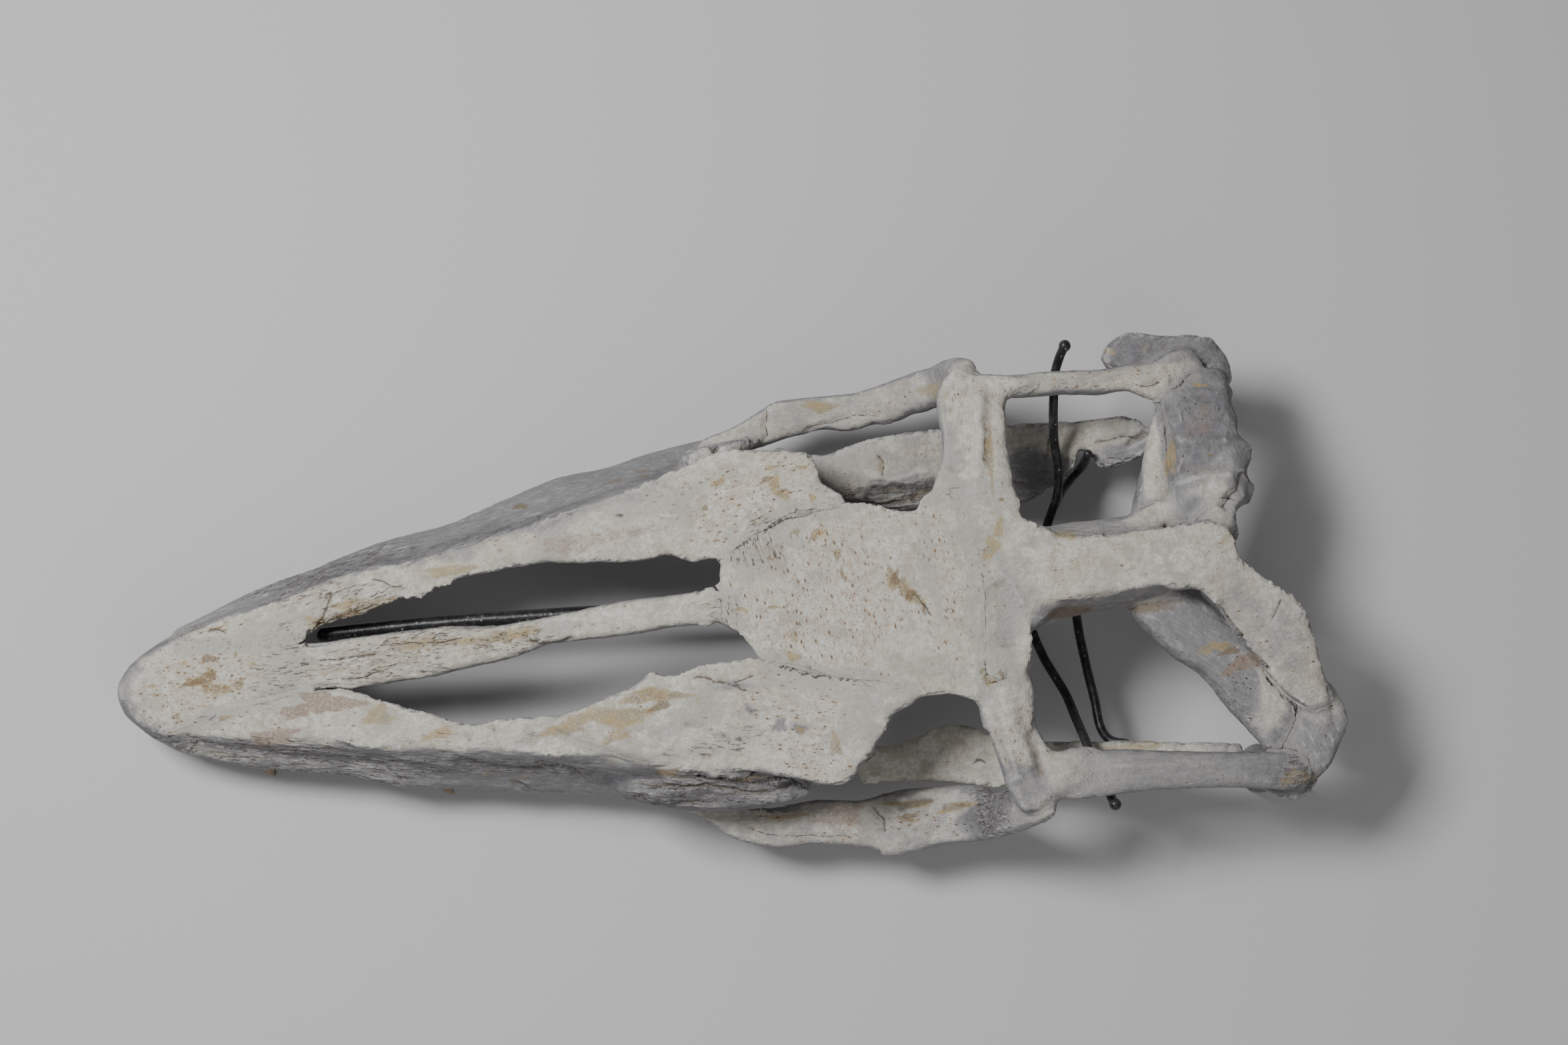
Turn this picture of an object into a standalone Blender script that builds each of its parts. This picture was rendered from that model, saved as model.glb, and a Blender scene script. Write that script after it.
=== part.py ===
"""Fossil mosasaur skull, dorsal side up, resting on its tooth tips and quadrates.

Skull coordinates are millimetres: x runs back from the tip of the snout, y runs to the
skull's right of its mid line, z runs up from the surface that it rests on. Each bone is
joined from lofted bars, walls and slabs, skinned, and then cut back from the bones that
overlie it, so that every suture keeps the same narrow gap.
"""
import math

import bmesh
import bpy
from mathutils import Vector

MM = 0.001
MID_LENGTH = 329.9          # middle of the skull's length, from the tip of the snout
MID_OFFSET = -4.05          # middle of the skull's width, off its mid line
GUM = 30.0                  # height of the tooth-bearing edge of the upper jaw
SUTURE_GAP = 0.4            # clear gap between neighbouring bones
SKIN_CELL = 1.8             # grain of the skin over a bone's joined shapes
SKIN_PASSES = 4             # smoothing passes over that skin
ROD = 8.0                   # diameter of the armature's backbone
WIRE = 5.0                  # diameter of its arms
TOOTH_BASE = 10.5           # width of a tooth where it leaves the jaw

BONE_COLOUR = (0.74, 0.71, 0.66, 1.0)
SHADE_COLOUR = (0.60, 0.59, 0.60, 1.0)
STEEL_COLOUR = (0.030, 0.030, 0.032, 1.0)


def clear_scene():
    """Start from an empty scene."""
    for obj in list(bpy.data.objects):
        bpy.data.objects.remove(obj, do_unlink=True)


def principled(name, colour, roughness, metallic=0.0):
    """One plain finish."""
    material = bpy.data.materials.new(name)
    material.use_nodes = True
    shader = material.node_tree.nodes["Principled BSDF"]
    shader.inputs["Base Color"].default_value = colour
    shader.inputs["Roughness"].default_value = roughness
    shader.inputs["Metallic"].default_value = metallic
    return material


def part_point(x, y, z):
    """A point in skull coordinates, in metres in the part's own frame."""
    return Vector(((x - MID_LENGTH) * MM, (y - MID_OFFSET) * MM, z * MM))


def smooth_rows(rows, steps):
    """Rows of numbers read from a smooth curve through the given ones."""
    count = len(rows)
    result = []
    for i in range(count - 1):
        before = rows[max(i - 1, 0)]
        here, there = rows[i], rows[i + 1]
        after = rows[min(i + 2, count - 1)]
        for step in range(steps):
            t = step / steps
            result.append(tuple(
                0.5 * (2 * b + (c - a) * t + (2 * a - 5 * b + 4 * c - d) * t ** 2
                       + (3 * b - a - 3 * c + d) * t ** 3)
                for a, b, c, d in zip(before, here, there, after)))
    result.append(tuple(rows[-1]))
    return result


class Shape:
    """Closed solids in skull coordinates that are skinned into one bone."""

    def __init__(self):
        self.mesh = bmesh.new()

    def _loft(self, rings):
        """Join rings of points into one closed solid."""
        loops = [[self.mesh.verts.new(part_point(*p)) for p in ring] for ring in rings]
        size = len(loops[0])
        for first, second in zip(loops, loops[1:]):
            for i in range(size):
                j = (i + 1) % size
                self.mesh.faces.new((first[i], first[j], second[j], second[i]))
        self.mesh.faces.new(list(reversed(loops[0])))
        self.mesh.faces.new(loops[-1])

    def bar(self, stations, up=(0, 0, 1), square=2.4, steps=4, sides=14):
        """A bar through stations of (x, y, z, across, deep), with rounded corners."""
        rows = smooth_rows(stations, steps)
        rings = []
        for i, row in enumerate(rows):
            middle = Vector(row[:3])
            ahead = Vector(rows[min(i + 1, len(rows) - 1)][:3])
            behind = Vector(rows[max(i - 1, 0)][:3])
            along = (ahead - behind).normalized()
            side = along.cross(Vector(up)).normalized()
            over = side.cross(along)
            ring = []
            for k in range(sides):
                turn = 2 * math.pi * k / sides
                c, s = math.cos(turn), math.sin(turn)
                a = math.copysign(abs(c) ** (2 / square), c) * max(row[3], 0.6) / 2
                b = math.copysign(abs(s) ** (2 / square), s) * max(row[4], 0.6) / 2
                ring.append(tuple(middle + side * a + over * b))
            rings.append(ring)
        self._loft(rings)
        return self

    def blend(self, sections, steps=3):
        """A solid through matching cross sections, each a list of points."""
        flat = [tuple(value for point in section for value in point) for section in sections]
        rings = []
        for row in smooth_rows(flat, steps):
            rings.append([row[k:k + 3] for k in range(0, len(row), 3)])
        self._loft(rings)
        return self

    def wall(self, columns, thick, inward, steps=3):
        """A curved wall: columns of outer points, and the way inside from each of them."""
        flat = [tuple(value for point in column for value in point) for column in columns]
        shifts = [Vector(way).normalized() * thick for way in inward]
        rings = []
        for row in smooth_rows(flat, steps):
            outer = [Vector(row[k:k + 3]) for k in range(0, len(row), 3)]
            inner = [point + shift for point, shift in zip(outer, shifts)]
            rings.append([tuple(point) for point in outer + inner[::-1]])
        self._loft(rings)
        return self

    def slab(self, outline, thick):
        """A plate under an outline of (x, y, z) points."""
        top = [part_point(*point) for point in outline]
        drop = Vector((0, 0, -thick * MM))
        upper = [self.mesh.verts.new(point) for point in top]
        lower = [self.mesh.verts.new(point + drop) for point in top]
        caps = [self.mesh.faces.new(upper), self.mesh.faces.new(lower)]
        for i in range(len(top)):
            j = (i + 1) % len(top)
            self.mesh.faces.new((upper[i], upper[j], lower[j], lower[i]))
        bmesh.ops.triangulate(self.mesh, faces=caps)
        return self

    def ball(self, x, y, z, length, width, height):
        """A lump with the given full sizes."""
        made = bmesh.ops.create_uvsphere(self.mesh, u_segments=14, v_segments=9, radius=0.5)
        centre = part_point(x, y, z)
        for vert in made["verts"]:
            vert.co = centre + Vector((vert.co.x * length, vert.co.y * width,
                                       vert.co.z * height)) * MM
        return self

    def tooth(self, x, y, root, tip, lean=0.0, width=TOOTH_BASE):
        """A recurved crown on its bony foot, from the jaw's edge down to its tip."""
        drop = root - tip
        rows = []
        for share, size in ((-0.25, 0.95), (0.0, 1.1), (0.2, 1.0), (0.5, 0.78), (0.8, 0.5),
                            (1.0, 0.32)):
            back = 0.16 * drop * share ** 2
            rows.append((x + back, y + lean * share, root - drop * share, width * size,
                         width * size * 0.85))
        return self.bar(rows, up=(1, 0, 0), square=2.0, steps=2, sides=10)


class Skull:
    """The finished bones, in the order in which they overlie each other."""

    def __init__(self):
        self.finished = []
        self.bone = principled("fossil_bone", BONE_COLOUR, 0.85)
        self.shade = principled("fossil_bone_side", SHADE_COLOUR, 0.85)
        self.steel = principled("blackened_steel", STEEL_COLOUR, 0.45, 0.9)

    def add(self, name, shape, triangles, material=None, cell=SKIN_CELL, passes=SKIN_PASSES):
        """Skin the joined shapes, thin the skin out, and cut it back from its neighbours."""
        bmesh.ops.recalc_face_normals(shape.mesh, faces=shape.mesh.faces)
        mesh = bpy.data.meshes.new(name)
        shape.mesh.to_mesh(mesh)
        shape.mesh.free()
        obj = bpy.data.objects.new(name, mesh)
        bpy.context.collection.objects.link(obj)
        skin = obj.modifiers.new("Skin", "REMESH")
        skin.mode = "VOXEL"
        skin.voxel_size = cell * MM
        soften = obj.modifiers.new("Soften", "SMOOTH")
        soften.factor = 0.5
        soften.iterations = passes
        settle(obj)
        thin = obj.modifiers.new("Thin", "DECIMATE")
        thin.ratio = triangles / (2 * len(obj.data.polygons))
        thin.use_collapse_triangulate = True
        settle(obj)
        for other in self.finished:
            if boxes_meet(obj, other):
                cut_back(obj, other)
        tidy_body(obj)
        obj.data.materials.clear()
        obj.data.materials.append(material or self.bone)
        self.finished.append(obj)
        return obj


def settle(obj):
    """Turn an object's modifiers into plain mesh."""
    evaluated = obj.evaluated_get(bpy.context.evaluated_depsgraph_get())
    made = bpy.data.meshes.new_from_object(evaluated)
    obj.modifiers.clear()
    obj.data = made


def box_of(obj):
    """Lowest and highest corner of an object's mesh."""
    points = [vert.co for vert in obj.data.vertices]
    low = Vector([min(p[i] for p in points) for i in range(3)])
    high = Vector([max(p[i] for p in points) for i in range(3)])
    return low, high


def boxes_meet(one, other):
    """Whether two objects' boxes come within a suture gap of each other."""
    low_a, high_a = box_of(one)
    low_b, high_b = box_of(other)
    reach = 2 * SUTURE_GAP * MM
    return all(low_a[i] < high_b[i] + reach and low_b[i] < high_a[i] + reach for i in range(3))


def cut_back(obj, other):
    """Cut an object back from a neighbour, leaving the suture gap."""
    swollen = bpy.data.objects.new(other.name + "_swollen", other.data.copy())
    bpy.context.collection.objects.link(swollen)
    swell = swollen.modifiers.new("Swell", "DISPLACE")
    swell.mid_level = 0.0
    swell.strength = SUTURE_GAP * MM
    settle(swollen)
    cut = obj.modifiers.new("Suture", "BOOLEAN")
    cut.operation = "DIFFERENCE"
    cut.object = swollen
    settle(obj)
    bpy.data.objects.remove(swollen, do_unlink=True)


def loose_flaps(mesh):
    """Faces that hang on a closed surface by one edge, left where two points merged."""
    flaps = []
    for face in mesh.faces:
        counts = [len(edge.link_faces) for edge in face.edges]
        if 1 in counts and (max(counts) > 2 or max(counts) == 1):
            flaps.append(face)
    return flaps


def tidy_body(obj):
    """Cut a bone off flat at the resting plane, and drop the crumbs that the cuts leave."""
    mesh = bmesh.new()
    mesh.from_mesh(obj.data)
    if min(vert.co.z for vert in mesh.verts) < 0:
        parts = mesh.verts[:] + mesh.edges[:] + mesh.faces[:]
        bmesh.ops.bisect_plane(mesh, geom=parts, plane_co=(0, 0, 0), plane_no=(0, 0, -1),
                               clear_outer=True)
    bmesh.ops.triangulate(mesh, faces=mesh.faces)
    bmesh.ops.remove_doubles(mesh, verts=mesh.verts, dist=0.05 * MM)
    bmesh.ops.dissolve_degenerate(mesh, edges=mesh.edges, dist=0.02 * MM)
    flaps = loose_flaps(mesh)
    while flaps:
        bmesh.ops.delete(mesh, geom=flaps, context="FACES")
        flaps = loose_flaps(mesh)
    rim = [edge for edge in mesh.edges if edge.is_boundary]
    bmesh.ops.holes_fill(mesh, edges=rim, sides=0)
    bodies = []
    waiting = set(mesh.verts)
    while waiting:
        body, edge = set(), [waiting.pop()]
        while edge:
            vert = edge.pop()
            body.add(vert)
            near = {link.other_vert(vert) for link in vert.link_edges} & waiting
            waiting -= near
            edge.extend(near)
        bodies.append(body)
    bodies.sort(key=len, reverse=True)
    for body in bodies[1:]:
        bmesh.ops.delete(mesh, geom=list(body), context="VERTS")
    bmesh.ops.triangulate(mesh, faces=mesh.faces)
    bmesh.ops.recalc_face_normals(mesh, faces=mesh.faces)
    mesh.to_mesh(obj.data)
    mesh.free()


def steel_armature():
    """Backbone rod under the palate, with arms that hook under both temporal bars."""
    shape = Shape()
    shape.bar([(117, 19, 50, ROD, ROD), (177, 18, 50, ROD, ROD), (258, 14, 50, ROD, ROD),
               (340, 8, 49, ROD, ROD), (430, 5, 47, ROD, ROD), (545, 2, 46, ROD, ROD)], square=2)
    right = [(535, 123, 97), (532, 118, 90), (529, 110, 84), (527, 98, 83), (526, 88, 77),
             (526, 76, 64), (527, 62, 57), (525, 48, 53), (518, 33, 50), (513, 18, 48), (511, 3, 47)]
    left = [(531, -123, 96), (530, -119, 90), (527, -108, 86), (523, -96, 84), (521, -86, 76),
            (519, -74, 60), (516, -60, 50), (507, -39, 47), (502, -20, 46), (500, 3, 46)]
    right_pin = [(544, 68, 58), (544, 67, 46), (542, 64, 35), (535, 58, 31), (528, 50, 36),
                 (524, 44, 49)]
    left_prop = [(545, -91, 54), (537, -88, 50), (533, -80, 46), (532, -66, 45), (530, -49, 45),
                 (528, -25, 45), (528, 3, 46)]
    for route in (right, left, right_pin, left_prop):
        shape.bar([point + (WIRE, WIRE) for point in route], up=(0.3, 0.2, 1), square=2, sides=10)
    for x, y, z in (right[0], left[0]):
        shape.ball(x, y, z, WIRE * 1.3, WIRE * 1.3, WIRE * 1.3)
    return shape


def premaxilla():
    """Blunt end of the snout, with the bar that runs back between the nostrils."""
    shape = Shape()
    sections = []
    snout = [  # x, left and right edge at the gum, left and right shoulder, top, gum
        (1, -6, 3, -5, 2, 47, 36), (4, -13, 10, -10, 8, 52, 33), (10, -20, 17, -16, 13, 56, 31),
        (20, -28.5, 24, -23, 18, 60, 30), (32, -35.5, 29.5, -27, 24, 62, 30),
        (43, -35, 31, -26, 25, 63, 34)]
    for x, left, right, top_left, top_right, top, gum in snout:
        sections.append([(x, left, gum), (x, left * 0.97, gum + 9), (x, top_left, top - 5),
                         (x, top_left * 0.4, top), (x, top_right * 0.4, top), (x, top_right, top - 5),
                         (x, right * 0.97, gum + 9), (x, right, gum), (x, right * 0.55, gum + 4),
                         (x, left * 0.55, gum + 4)])
    shape.blend(sections)
    shape.bar([(30, -2, 50, 52, 24), (58, -1, 55, 46, 20), (82, 0, 60, 36, 18), (102, 0, 64, 30, 16),
               (122, 0, 65, 28, 15), (142, 0, 69, 27, 14), (177, 0.5, 76, 26, 13),
               (199, 1, 80, 22.5, 13), (216, 0.5, 82.5, 19, 12), (236, 3, 86.5, 16, 12),
               (258, 4.5, 90.5, 16, 12), (285, 5, 95.5, 18.5, 12), (307, 5.5, 100.5, 17, 11),
               (333, 5, 106, 16.5, 11), (346, 5, 108, 17, 10)], square=2.8)
    shape.bar([(118, -1, 61, 12, 8), (180, 0, 71, 10, 7), (214, 0, 78, 8, 6)])
    for x, y, tip in ((11, 9, 8), (28, 22, 2), (10, -10, 6), (27, -26, 3)):
        shape.tooth(x, y, GUM + 2, tip, lean=math.copysign(2.5, y))
    return shape


def upper_jaw(side, columns, rear_edge, teeth):
    """Maxilla: the cheek wall, the thick edge that holds the teeth, and the teeth."""
    shape = Shape()
    inward = [(0, -side, 0.3), (0, -side, 0), (0, -side, -0.4), (0, -0.7 * side, -1), (0, 0, -1)]
    shape.wall([[(x, side * gum, GUM), (x, side * (gum - 2), GUM + 12),
                 (x, side * (0.45 * gum + 0.55 * shoulder), 0.5 * (GUM + high) + 4),
                 (x, side * shoulder, high), (x, side * inner, top)]
                for x, gum, shoulder, high, inner, top in columns], 6.5, inward)
    edge = [(x, side * (gum - 6), GUM + 6, 12, 13) for x, gum, *_ in columns]
    last, last_gum = columns[-1][:2]
    edge.append((last + 9, side * (last_gum - 7), GUM + 8, 5, 6))
    shape.bar(edge, square=2.6)
    shelf = [(x, side * (gum - 15), GUM + 12, 14, 6) for x, gum, *_ in columns]
    shape.bar(shelf)
    for rear in rear_edge:
        shape.bar(rear)
    for x, gum, tip in teeth:
        shape.tooth(x, side * (gum - 5.5), GUM + 1, tip, lean=side * 3)
    return shape


def maxilla_right():
    """Right upper jaw, back to the notch where the cheek bone starts."""
    columns = [  # x, gum, shoulder and its height, inner edge and its height
        (36, 33, 25, 56, 18, 60), (52, 38, 29, 58, 18, 63), (70, 45, 33, 61, 16, 66),
        (92, 52, 37, 66, 15, 70),
        (108, 55.5, 40.5, 69, 15, 72), (120, 58.5, 43, 71, 17.5, 74), (136, 62.5, 45.5, 75, 23, 77),
        (150, 66.5, 47, 78, 27.5, 80), (166, 69, 49, 81, 32, 82), (186, 72, 52, 86, 36.5, 86),
        (206, 77, 55, 90, 38.5, 90), (238, 87, 60, 95, 40, 96), (258, 92, 64, 98, 42, 99),
        (280, 93.5, 70, 98, 55, 99), (300, 98, 75, 96, 64, 98), (320, 101, 80, 86, 73, 89),
        (336, 103, 86, 72, 80, 75), (350, 103, 92, 56, 87, 58)]
    rear = [[(326, 84, 80, 16, 16), (342, 88, 72, 14, 18), (354, 93, 62, 9, 14), (364, 96, 57, 4, 6)]]
    teeth = [(52, 38, 1), (76, 46.5, -3), (100, 53.5, 6), (124, 59.5, -3), (148, 66, 3), (172, 70, -3),
             (196, 74, 8), (220, 82, 1), (244, 88.5, 4), (268, 93, 10), (290, 96, 13)]
    return upper_jaw(1, columns, rear, teeth)


def maxilla_left():
    """Left upper jaw, ending behind in a weathered spur over the cheek bone."""
    columns = [(36, 38, 27, 56, 19, 60), (52, 42.5, 29.5, 59, 18, 63), (70, 48, 33, 63, 17, 67),
               (92, 52.5, 36.5, 68, 15, 70), (108, 55.5, 38.5, 71, 13, 72), (120, 58, 40.5, 73, 13, 73),
               (136, 63, 43, 77, 17.5, 75), (150, 68, 45.5, 80, 23.5, 78),
               (166, 70.5, 49, 83, 29.5, 80), (186, 73, 53, 87, 37, 84), (206, 77, 55.5, 90, 39.5, 88),
               (238, 82, 62, 94, 41.5, 93), (258, 86, 65, 96, 46, 96), (280, 91, 68, 97, 56, 97),
               (298, 95.5, 72, 96, 64, 97), (314, 97.5, 76, 93, 69, 95), (328, 98.5, 80, 88, 74, 90)]
    rear = [[(270, -86, 58, 4, 26), (290, -89, 57, 12, 42), (312, -93, 62, 15, 46),
             (336, -94, 70, 17, 36), (354, -95, 75, 14, 24), (364, -96, 76, 9, 14),
             (371, -97, 77, 4, 6)], [(296, -80, 84, 18, 22), (326, -83, 86, 18, 16),
                                     (350, -88, 84, 14, 12), (364, -93, 80, 6, 6)]]
    teeth = [(50, 42, 1), (74, 48.5, -3), (98, 54, 8), (122, 58.5, -3), (146, 66.5, 2), (170, 70.5, 5),
             (194, 74, -3), (218, 79, 7), (242, 83, 2), (266, 88, 9), (288, 93, 14)]
    return upper_jaw(-1, columns, rear, teeth)


def prefrontal_right():
    """Plate in front of the right eye socket, with the strut that drops along its edge."""
    shape = Shape()
    shape.slab([(240, 44, 99), (258, 39, 101), (276, 37, 104), (293, 35, 106), (311, 35, 108),
                (328, 31, 110), (340, 26, 113), (356, 38, 117), (378, 46, 119), (404, 47, 120),
                (407, 54, 119), (396, 62, 117), (396, 68, 116), (394, 75, 115), (387, 80, 114),
                (370, 82, 113), (352, 86, 110), (341, 85, 108), (315, 78, 105), (290, 70, 103),
                (267, 63, 101)], 8)
    shape.bar([(389, 64, 112, 34, 12), (387, 68, 98, 30, 10), (384, 74, 80, 24, 9),
               (380, 79, 62, 20, 9), (376, 81, 48, 24, 10)], up=(1, 0, 0), square=2)
    shape.bar([(345, 80, 104, 12, 12), (366, 78, 106, 12, 14), (388, 74, 107, 10, 12)])
    return shape


def prefrontal_left():
    """Plate in front of the left eye socket, broad behind, with its own strut."""
    shape = Shape()
    shape.slab([(236, -46, 96), (250, -42, 99), (267, -39, 102), (289, -31, 106), (298, -28, 107),
                (314, -30, 109), (320, -26, 111), (340, -26, 113), (357, -28, 116), (374, -34, 118),
                (392, -41, 120), (412, -45, 121), (428, -48, 121), (433, -55, 121), (423, -63, 121),
                (415, -71, 120), (413, -75, 119), (406, -79, 118), (402, -86, 117), (395, -91, 116),
                (391, -96, 115), (381, -95, 114), (367, -91, 112), (349, -83, 108), (316, -76, 103),
                (281, -68, 101), (256, -58, 99)], 8)
    shape.bar([(389, -72, 112, 34, 12), (386, -75, 98, 30, 10), (382, -79, 80, 24, 9),
               (377, -83, 62, 20, 9), (373, -85, 48, 24, 10)], up=(1, 0, 0), square=2)
    shape.bar([(345, -78, 104, 12, 12), (366, -84, 106, 12, 14), (390, -90, 108, 10, 12)])
    return shape


def frontal():
    """Broad table between the eye sockets, with a keel beneath it."""
    shape = Shape()
    shape.slab([(334, -3, 113), (345, -10, 115), (352, -21, 116), (357, -28, 116), (374, -34, 118),
                (392, -41, 120), (412, -45, 121), (428, -48, 122), (433, -55, 121), (449, -55, 121),
                (461, -60, 121), (468, -61, 122), (472, -30, 124), (474, 0, 124), (472, 30, 124),
                (468, 52, 122), (454, 50, 121), (446, 41, 121), (436, 41, 121), (419, 47, 120),
                (404, 47, 120), (378, 46, 119), (356, 38, 117), (344, 30, 114), (337, 26, 113),
                (337, 11, 113)], 9)
    shape.bar([(340, 4, 107, 26, 10), (380, 2, 110, 36, 13), (420, -1, 111, 40, 15),
               (466, -2, 112, 52, 15)], square=2)
    shape.bar([(350, 3, 101, 8, 8), (400, 1, 102, 10, 10), (464, 0, 104, 12, 10)], square=2)
    return shape


def parietal():
    """Roof between the temporal openings, and the long arm back to the left."""
    shape = Shape()
    shape.slab([(464, -54, 122), (468, -30, 124), (470, 0, 124), (468, 30, 124), (464, 52, 122),
                (499, 48, 122), (499, 34, 123), (507, 23, 124), (521, 19, 125), (556, 16, 126),
                (577, 16, 127), (591, 17, 127), (603, 15, 126), (609, 4, 125), (607, -4, 125),
                (594, -12, 125), (584, -9, 126), (570, -10, 127), (552, -13, 127), (534, -14, 126),
                (517, -12, 126), (503, -15, 125), (496, -23, 124), (495, -34, 123), (494, -50, 122)], 8)
    shape.bar([(472, -2, 114, 84, 13), (500, -1, 114, 40, 14), (530, 1, 114, 28, 18),
               (566, 2, 115, 26, 18), (598, 3, 114, 24, 16)])
    shape.wall([[(498, 32, 119), (498, 29, 106), (498, 25, 97)], [(512, 22, 120), (512, 26, 107),
                                                                  (512, 27, 96)], [(530, 18, 121),
                                                                                   (530, 25, 108),
                                                                                   (530, 28, 95)],
                                                                                   [(552, 16, 122),
                                                                                    (552, 24, 109),
                                                                                    (552, 29, 95)],
                                                                                    [(572, 16, 122),
                                                                                     (572, 23, 110),
                                                                                     (572, 27, 98)]], 7,
                                                                                     [(0, -1, 0)] * 3)
    shape.wall([[(498, -30, 119), (498, -28, 105), (498, -25, 94)], [(514, -15, 121), (514, -21, 106),
                                                                     (514, -23, 91)], [(534, -14, 122),
                                                                                       (534, -18, 105),
                                                                                       (534, -20, 89)],
                                                                                       [(554, -13, 122),
                                                                                        (554, -18, 106),
                                                                                        (554, -20, 90)],
                                                                                        [(572, -11,
                                                                                          122),
                                                                                          (572, -15,
                                                                                           108),
                                                                                           (572, -18,
                                                                                            96)]], 7,
                                                                                            [(0, 1,
                                                                                              0)] * 3)
    shape.slab([(584, -9, 126), (600, 0, 125), (607, -2, 124), (615, -9, 123), (624, -19, 122),
                (635, -27, 120), (640, -36, 118), (642, -45, 117), (643, -54, 114), (646, -66, 111),
                (650, -76, 107), (652, -84, 104), (640, -86, 104), (633, -81, 107), (625, -74, 110),
                (617, -62, 114), (608, -48, 118), (599, -33, 121), (590, -19, 124)], 9)
    shape.bar([(594, 12, 118, 20, 12), (604, 20, 115, 18, 12), (608, 28, 112, 14, 9)])
    shape.bar([(556, 21, 106, 12, 10), (572, 25, 106, 16, 10), (586, 24, 107, 14, 10)])
    return shape


def postorbitofrontal_right():
    """Strut behind the right eye socket, flaring to the cheek and the temporal bar."""
    shape = Shape()
    shape.bar([(478, 36, 115, 30, 11), (479, 50, 116, 39, 12), (478.5, 63, 113, 36, 12),
               (480, 80, 110, 35, 12), (480, 94, 107, 37, 12), (484, 104, 105, 36, 12),
               (487, 110, 104, 24, 11)], square=3)
    shape.bar([(474, 106, 106, 14, 12), (476, 112, 102, 15, 12), (477, 116, 94, 14, 11)], up=(1, 0, 0))
    shape.bar([(488, 104, 105, 16, 12), (506, 104, 104, 9, 13), (520, 103, 102, 5, 9)])
    shape.bar([(479, 46, 121, 10, 6), (480, 74, 116, 9, 6), (483, 98, 112, 8, 5)])
    return shape


def postorbitofrontal_left():
    """Strut behind the left eye socket, turned back along the temporal bar."""
    shape = Shape()
    shape.bar([(479, -45, 114, 26, 11), (480, -56, 116, 30, 12), (479.5, -68, 113, 29, 12),
               (481, -80, 110, 27, 12), (485, -92, 107, 28, 12), (490, -102, 104, 33, 12),
               (497, -111, 101, 36, 12), (500, -117, 99, 26, 9)], square=3)
    shape.bar([(482, -104, 103, 16, 12), (484, -112, 98, 18, 12), (486, -117, 92, 15, 9)], up=(1, 0, 0))
    shape.bar([(496, -104, 104, 24, 13), (514, -104, 103, 18, 12), (528, -104, 101, 8, 8)])
    shape.bar([(480, -52, 121, 9, 6), (481, -78, 116, 9, 6), (488, -98, 111, 9, 5)])
    return shape


def jugal_right():
    """Right cheek bone: a long lower arm that turns up behind the eye."""
    return Shape().bar([(334, 98, 46, 8, 8), (350, 99, 48, 13, 12), (364, 102, 49, 17, 13),
                        (380, 107.5, 50, 20.5, 13),
                        (398, 109, 50, 17.5, 13), (416, 108, 51, 18.5, 13), (432, 109, 54, 19.5, 13),
                        (448, 111.5, 58, 20.5, 15), (460, 113, 66, 21.5, 16)], square=2.8).bar(
        [(452, 111, 60, 21, 15), (465, 113, 70, 22, 15), (473, 115, 83, 20, 13), (479, 114, 97, 18, 11),
         (482, 112, 105, 16, 10)], up=(1, 0, 0), square=2.6)


def jugal_left():
    """Left cheek bone: broader, mended in the middle, with a pitted rising arm."""
    shape = Shape()
    shape.bar([(292, -92, 36, 6, 7), (306, -95, 38, 10, 10), (320, -102, 40, 16, 11),
               (334, -110, 41, 19, 12), (352, -114, 42, 22, 12), (372, -113.5, 43, 24, 12),
               (392, -116.5, 44, 25, 13), (404, -117.5, 45, 28, 14), (412, -119, 46, 35, 14),
               (424, -118.5, 47, 34, 14), (440, -118, 50, 32, 15), (456, -119, 56, 31, 16),
               (466, -120, 62, 28, 17)], square=2.8)
    shape.bar([(456, -119, 58, 28, 15), (470, -121, 68, 24, 16), (480, -120, 80, 22, 15),
               (489, -118, 92, 22, 12), (498, -116, 99, 20, 8)], up=(1, 0, 0), square=2.6)
    return shape


def squamosal_right():
    """Right temporal bar, thin and deep, running back to the quadrate."""
    shape = Shape()
    shape.bar([(494, 105, 102, 11, 12), (508, 103.5, 100.5, 12, 15), (530, 103, 99.5, 12.5, 16),
               (550, 101, 98.5, 13, 16), (566, 101.5, 98, 14, 16), (578, 98.5, 98, 20, 16),
               (588, 99, 97, 26, 14), (600, 102, 95, 26, 10)], square=2.8)
    return shape


def squamosal_left():
    """Left temporal bar, broader than the right one, with a thick head."""
    shape = Shape()
    shape.bar([(500, -108, 102, 18, 9), (516, -106, 101.5, 25, 11), (532, -106, 101, 24, 12),
               (552, -107.5, 101, 21, 13), (576, -110, 100.5, 19.5, 13), (594, -112, 100, 19, 13),
               (610, -114, 98.5, 20, 13), (624, -116, 96, 22, 12), (634, -117, 94, 17, 9)], square=2.6)
    return shape


def supratemporal_right():
    """Cross piece from the parietal out to the right quadrate."""
    shape = Shape()
    shape.bar([(600, 16, 110, 26, 12), (599, 27, 110, 40, 14), (599, 40, 109, 40, 16),
               (601, 56, 107, 38, 17), (600, 74, 104, 36, 17), (601, 90, 99, 36, 14),
               (602, 101, 94, 32, 9)], square=2.8)
    shape.bar([(614, 28, 104, 16, 12), (617, 44, 104, 16, 13), (617, 60, 104, 13, 14),
               (613, 82, 100, 10, 12)])
    return shape


def supratemporal_left():
    """Block at the left rear corner, under the end of the parietal's arm."""
    shape = Shape()
    shape.bar([(642, -72, 97, 18, 9), (643, -86, 95, 24, 12), (640, -98, 94, 28, 14),
               (634, -109, 92, 30, 13), (630, -117, 89, 22, 9)], square=2.6)
    shape.bar([(649, -76, 97, 9, 6), (655, -92, 95, 9, 7), (648, -106, 92, 9, 8)])
    return shape


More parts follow.
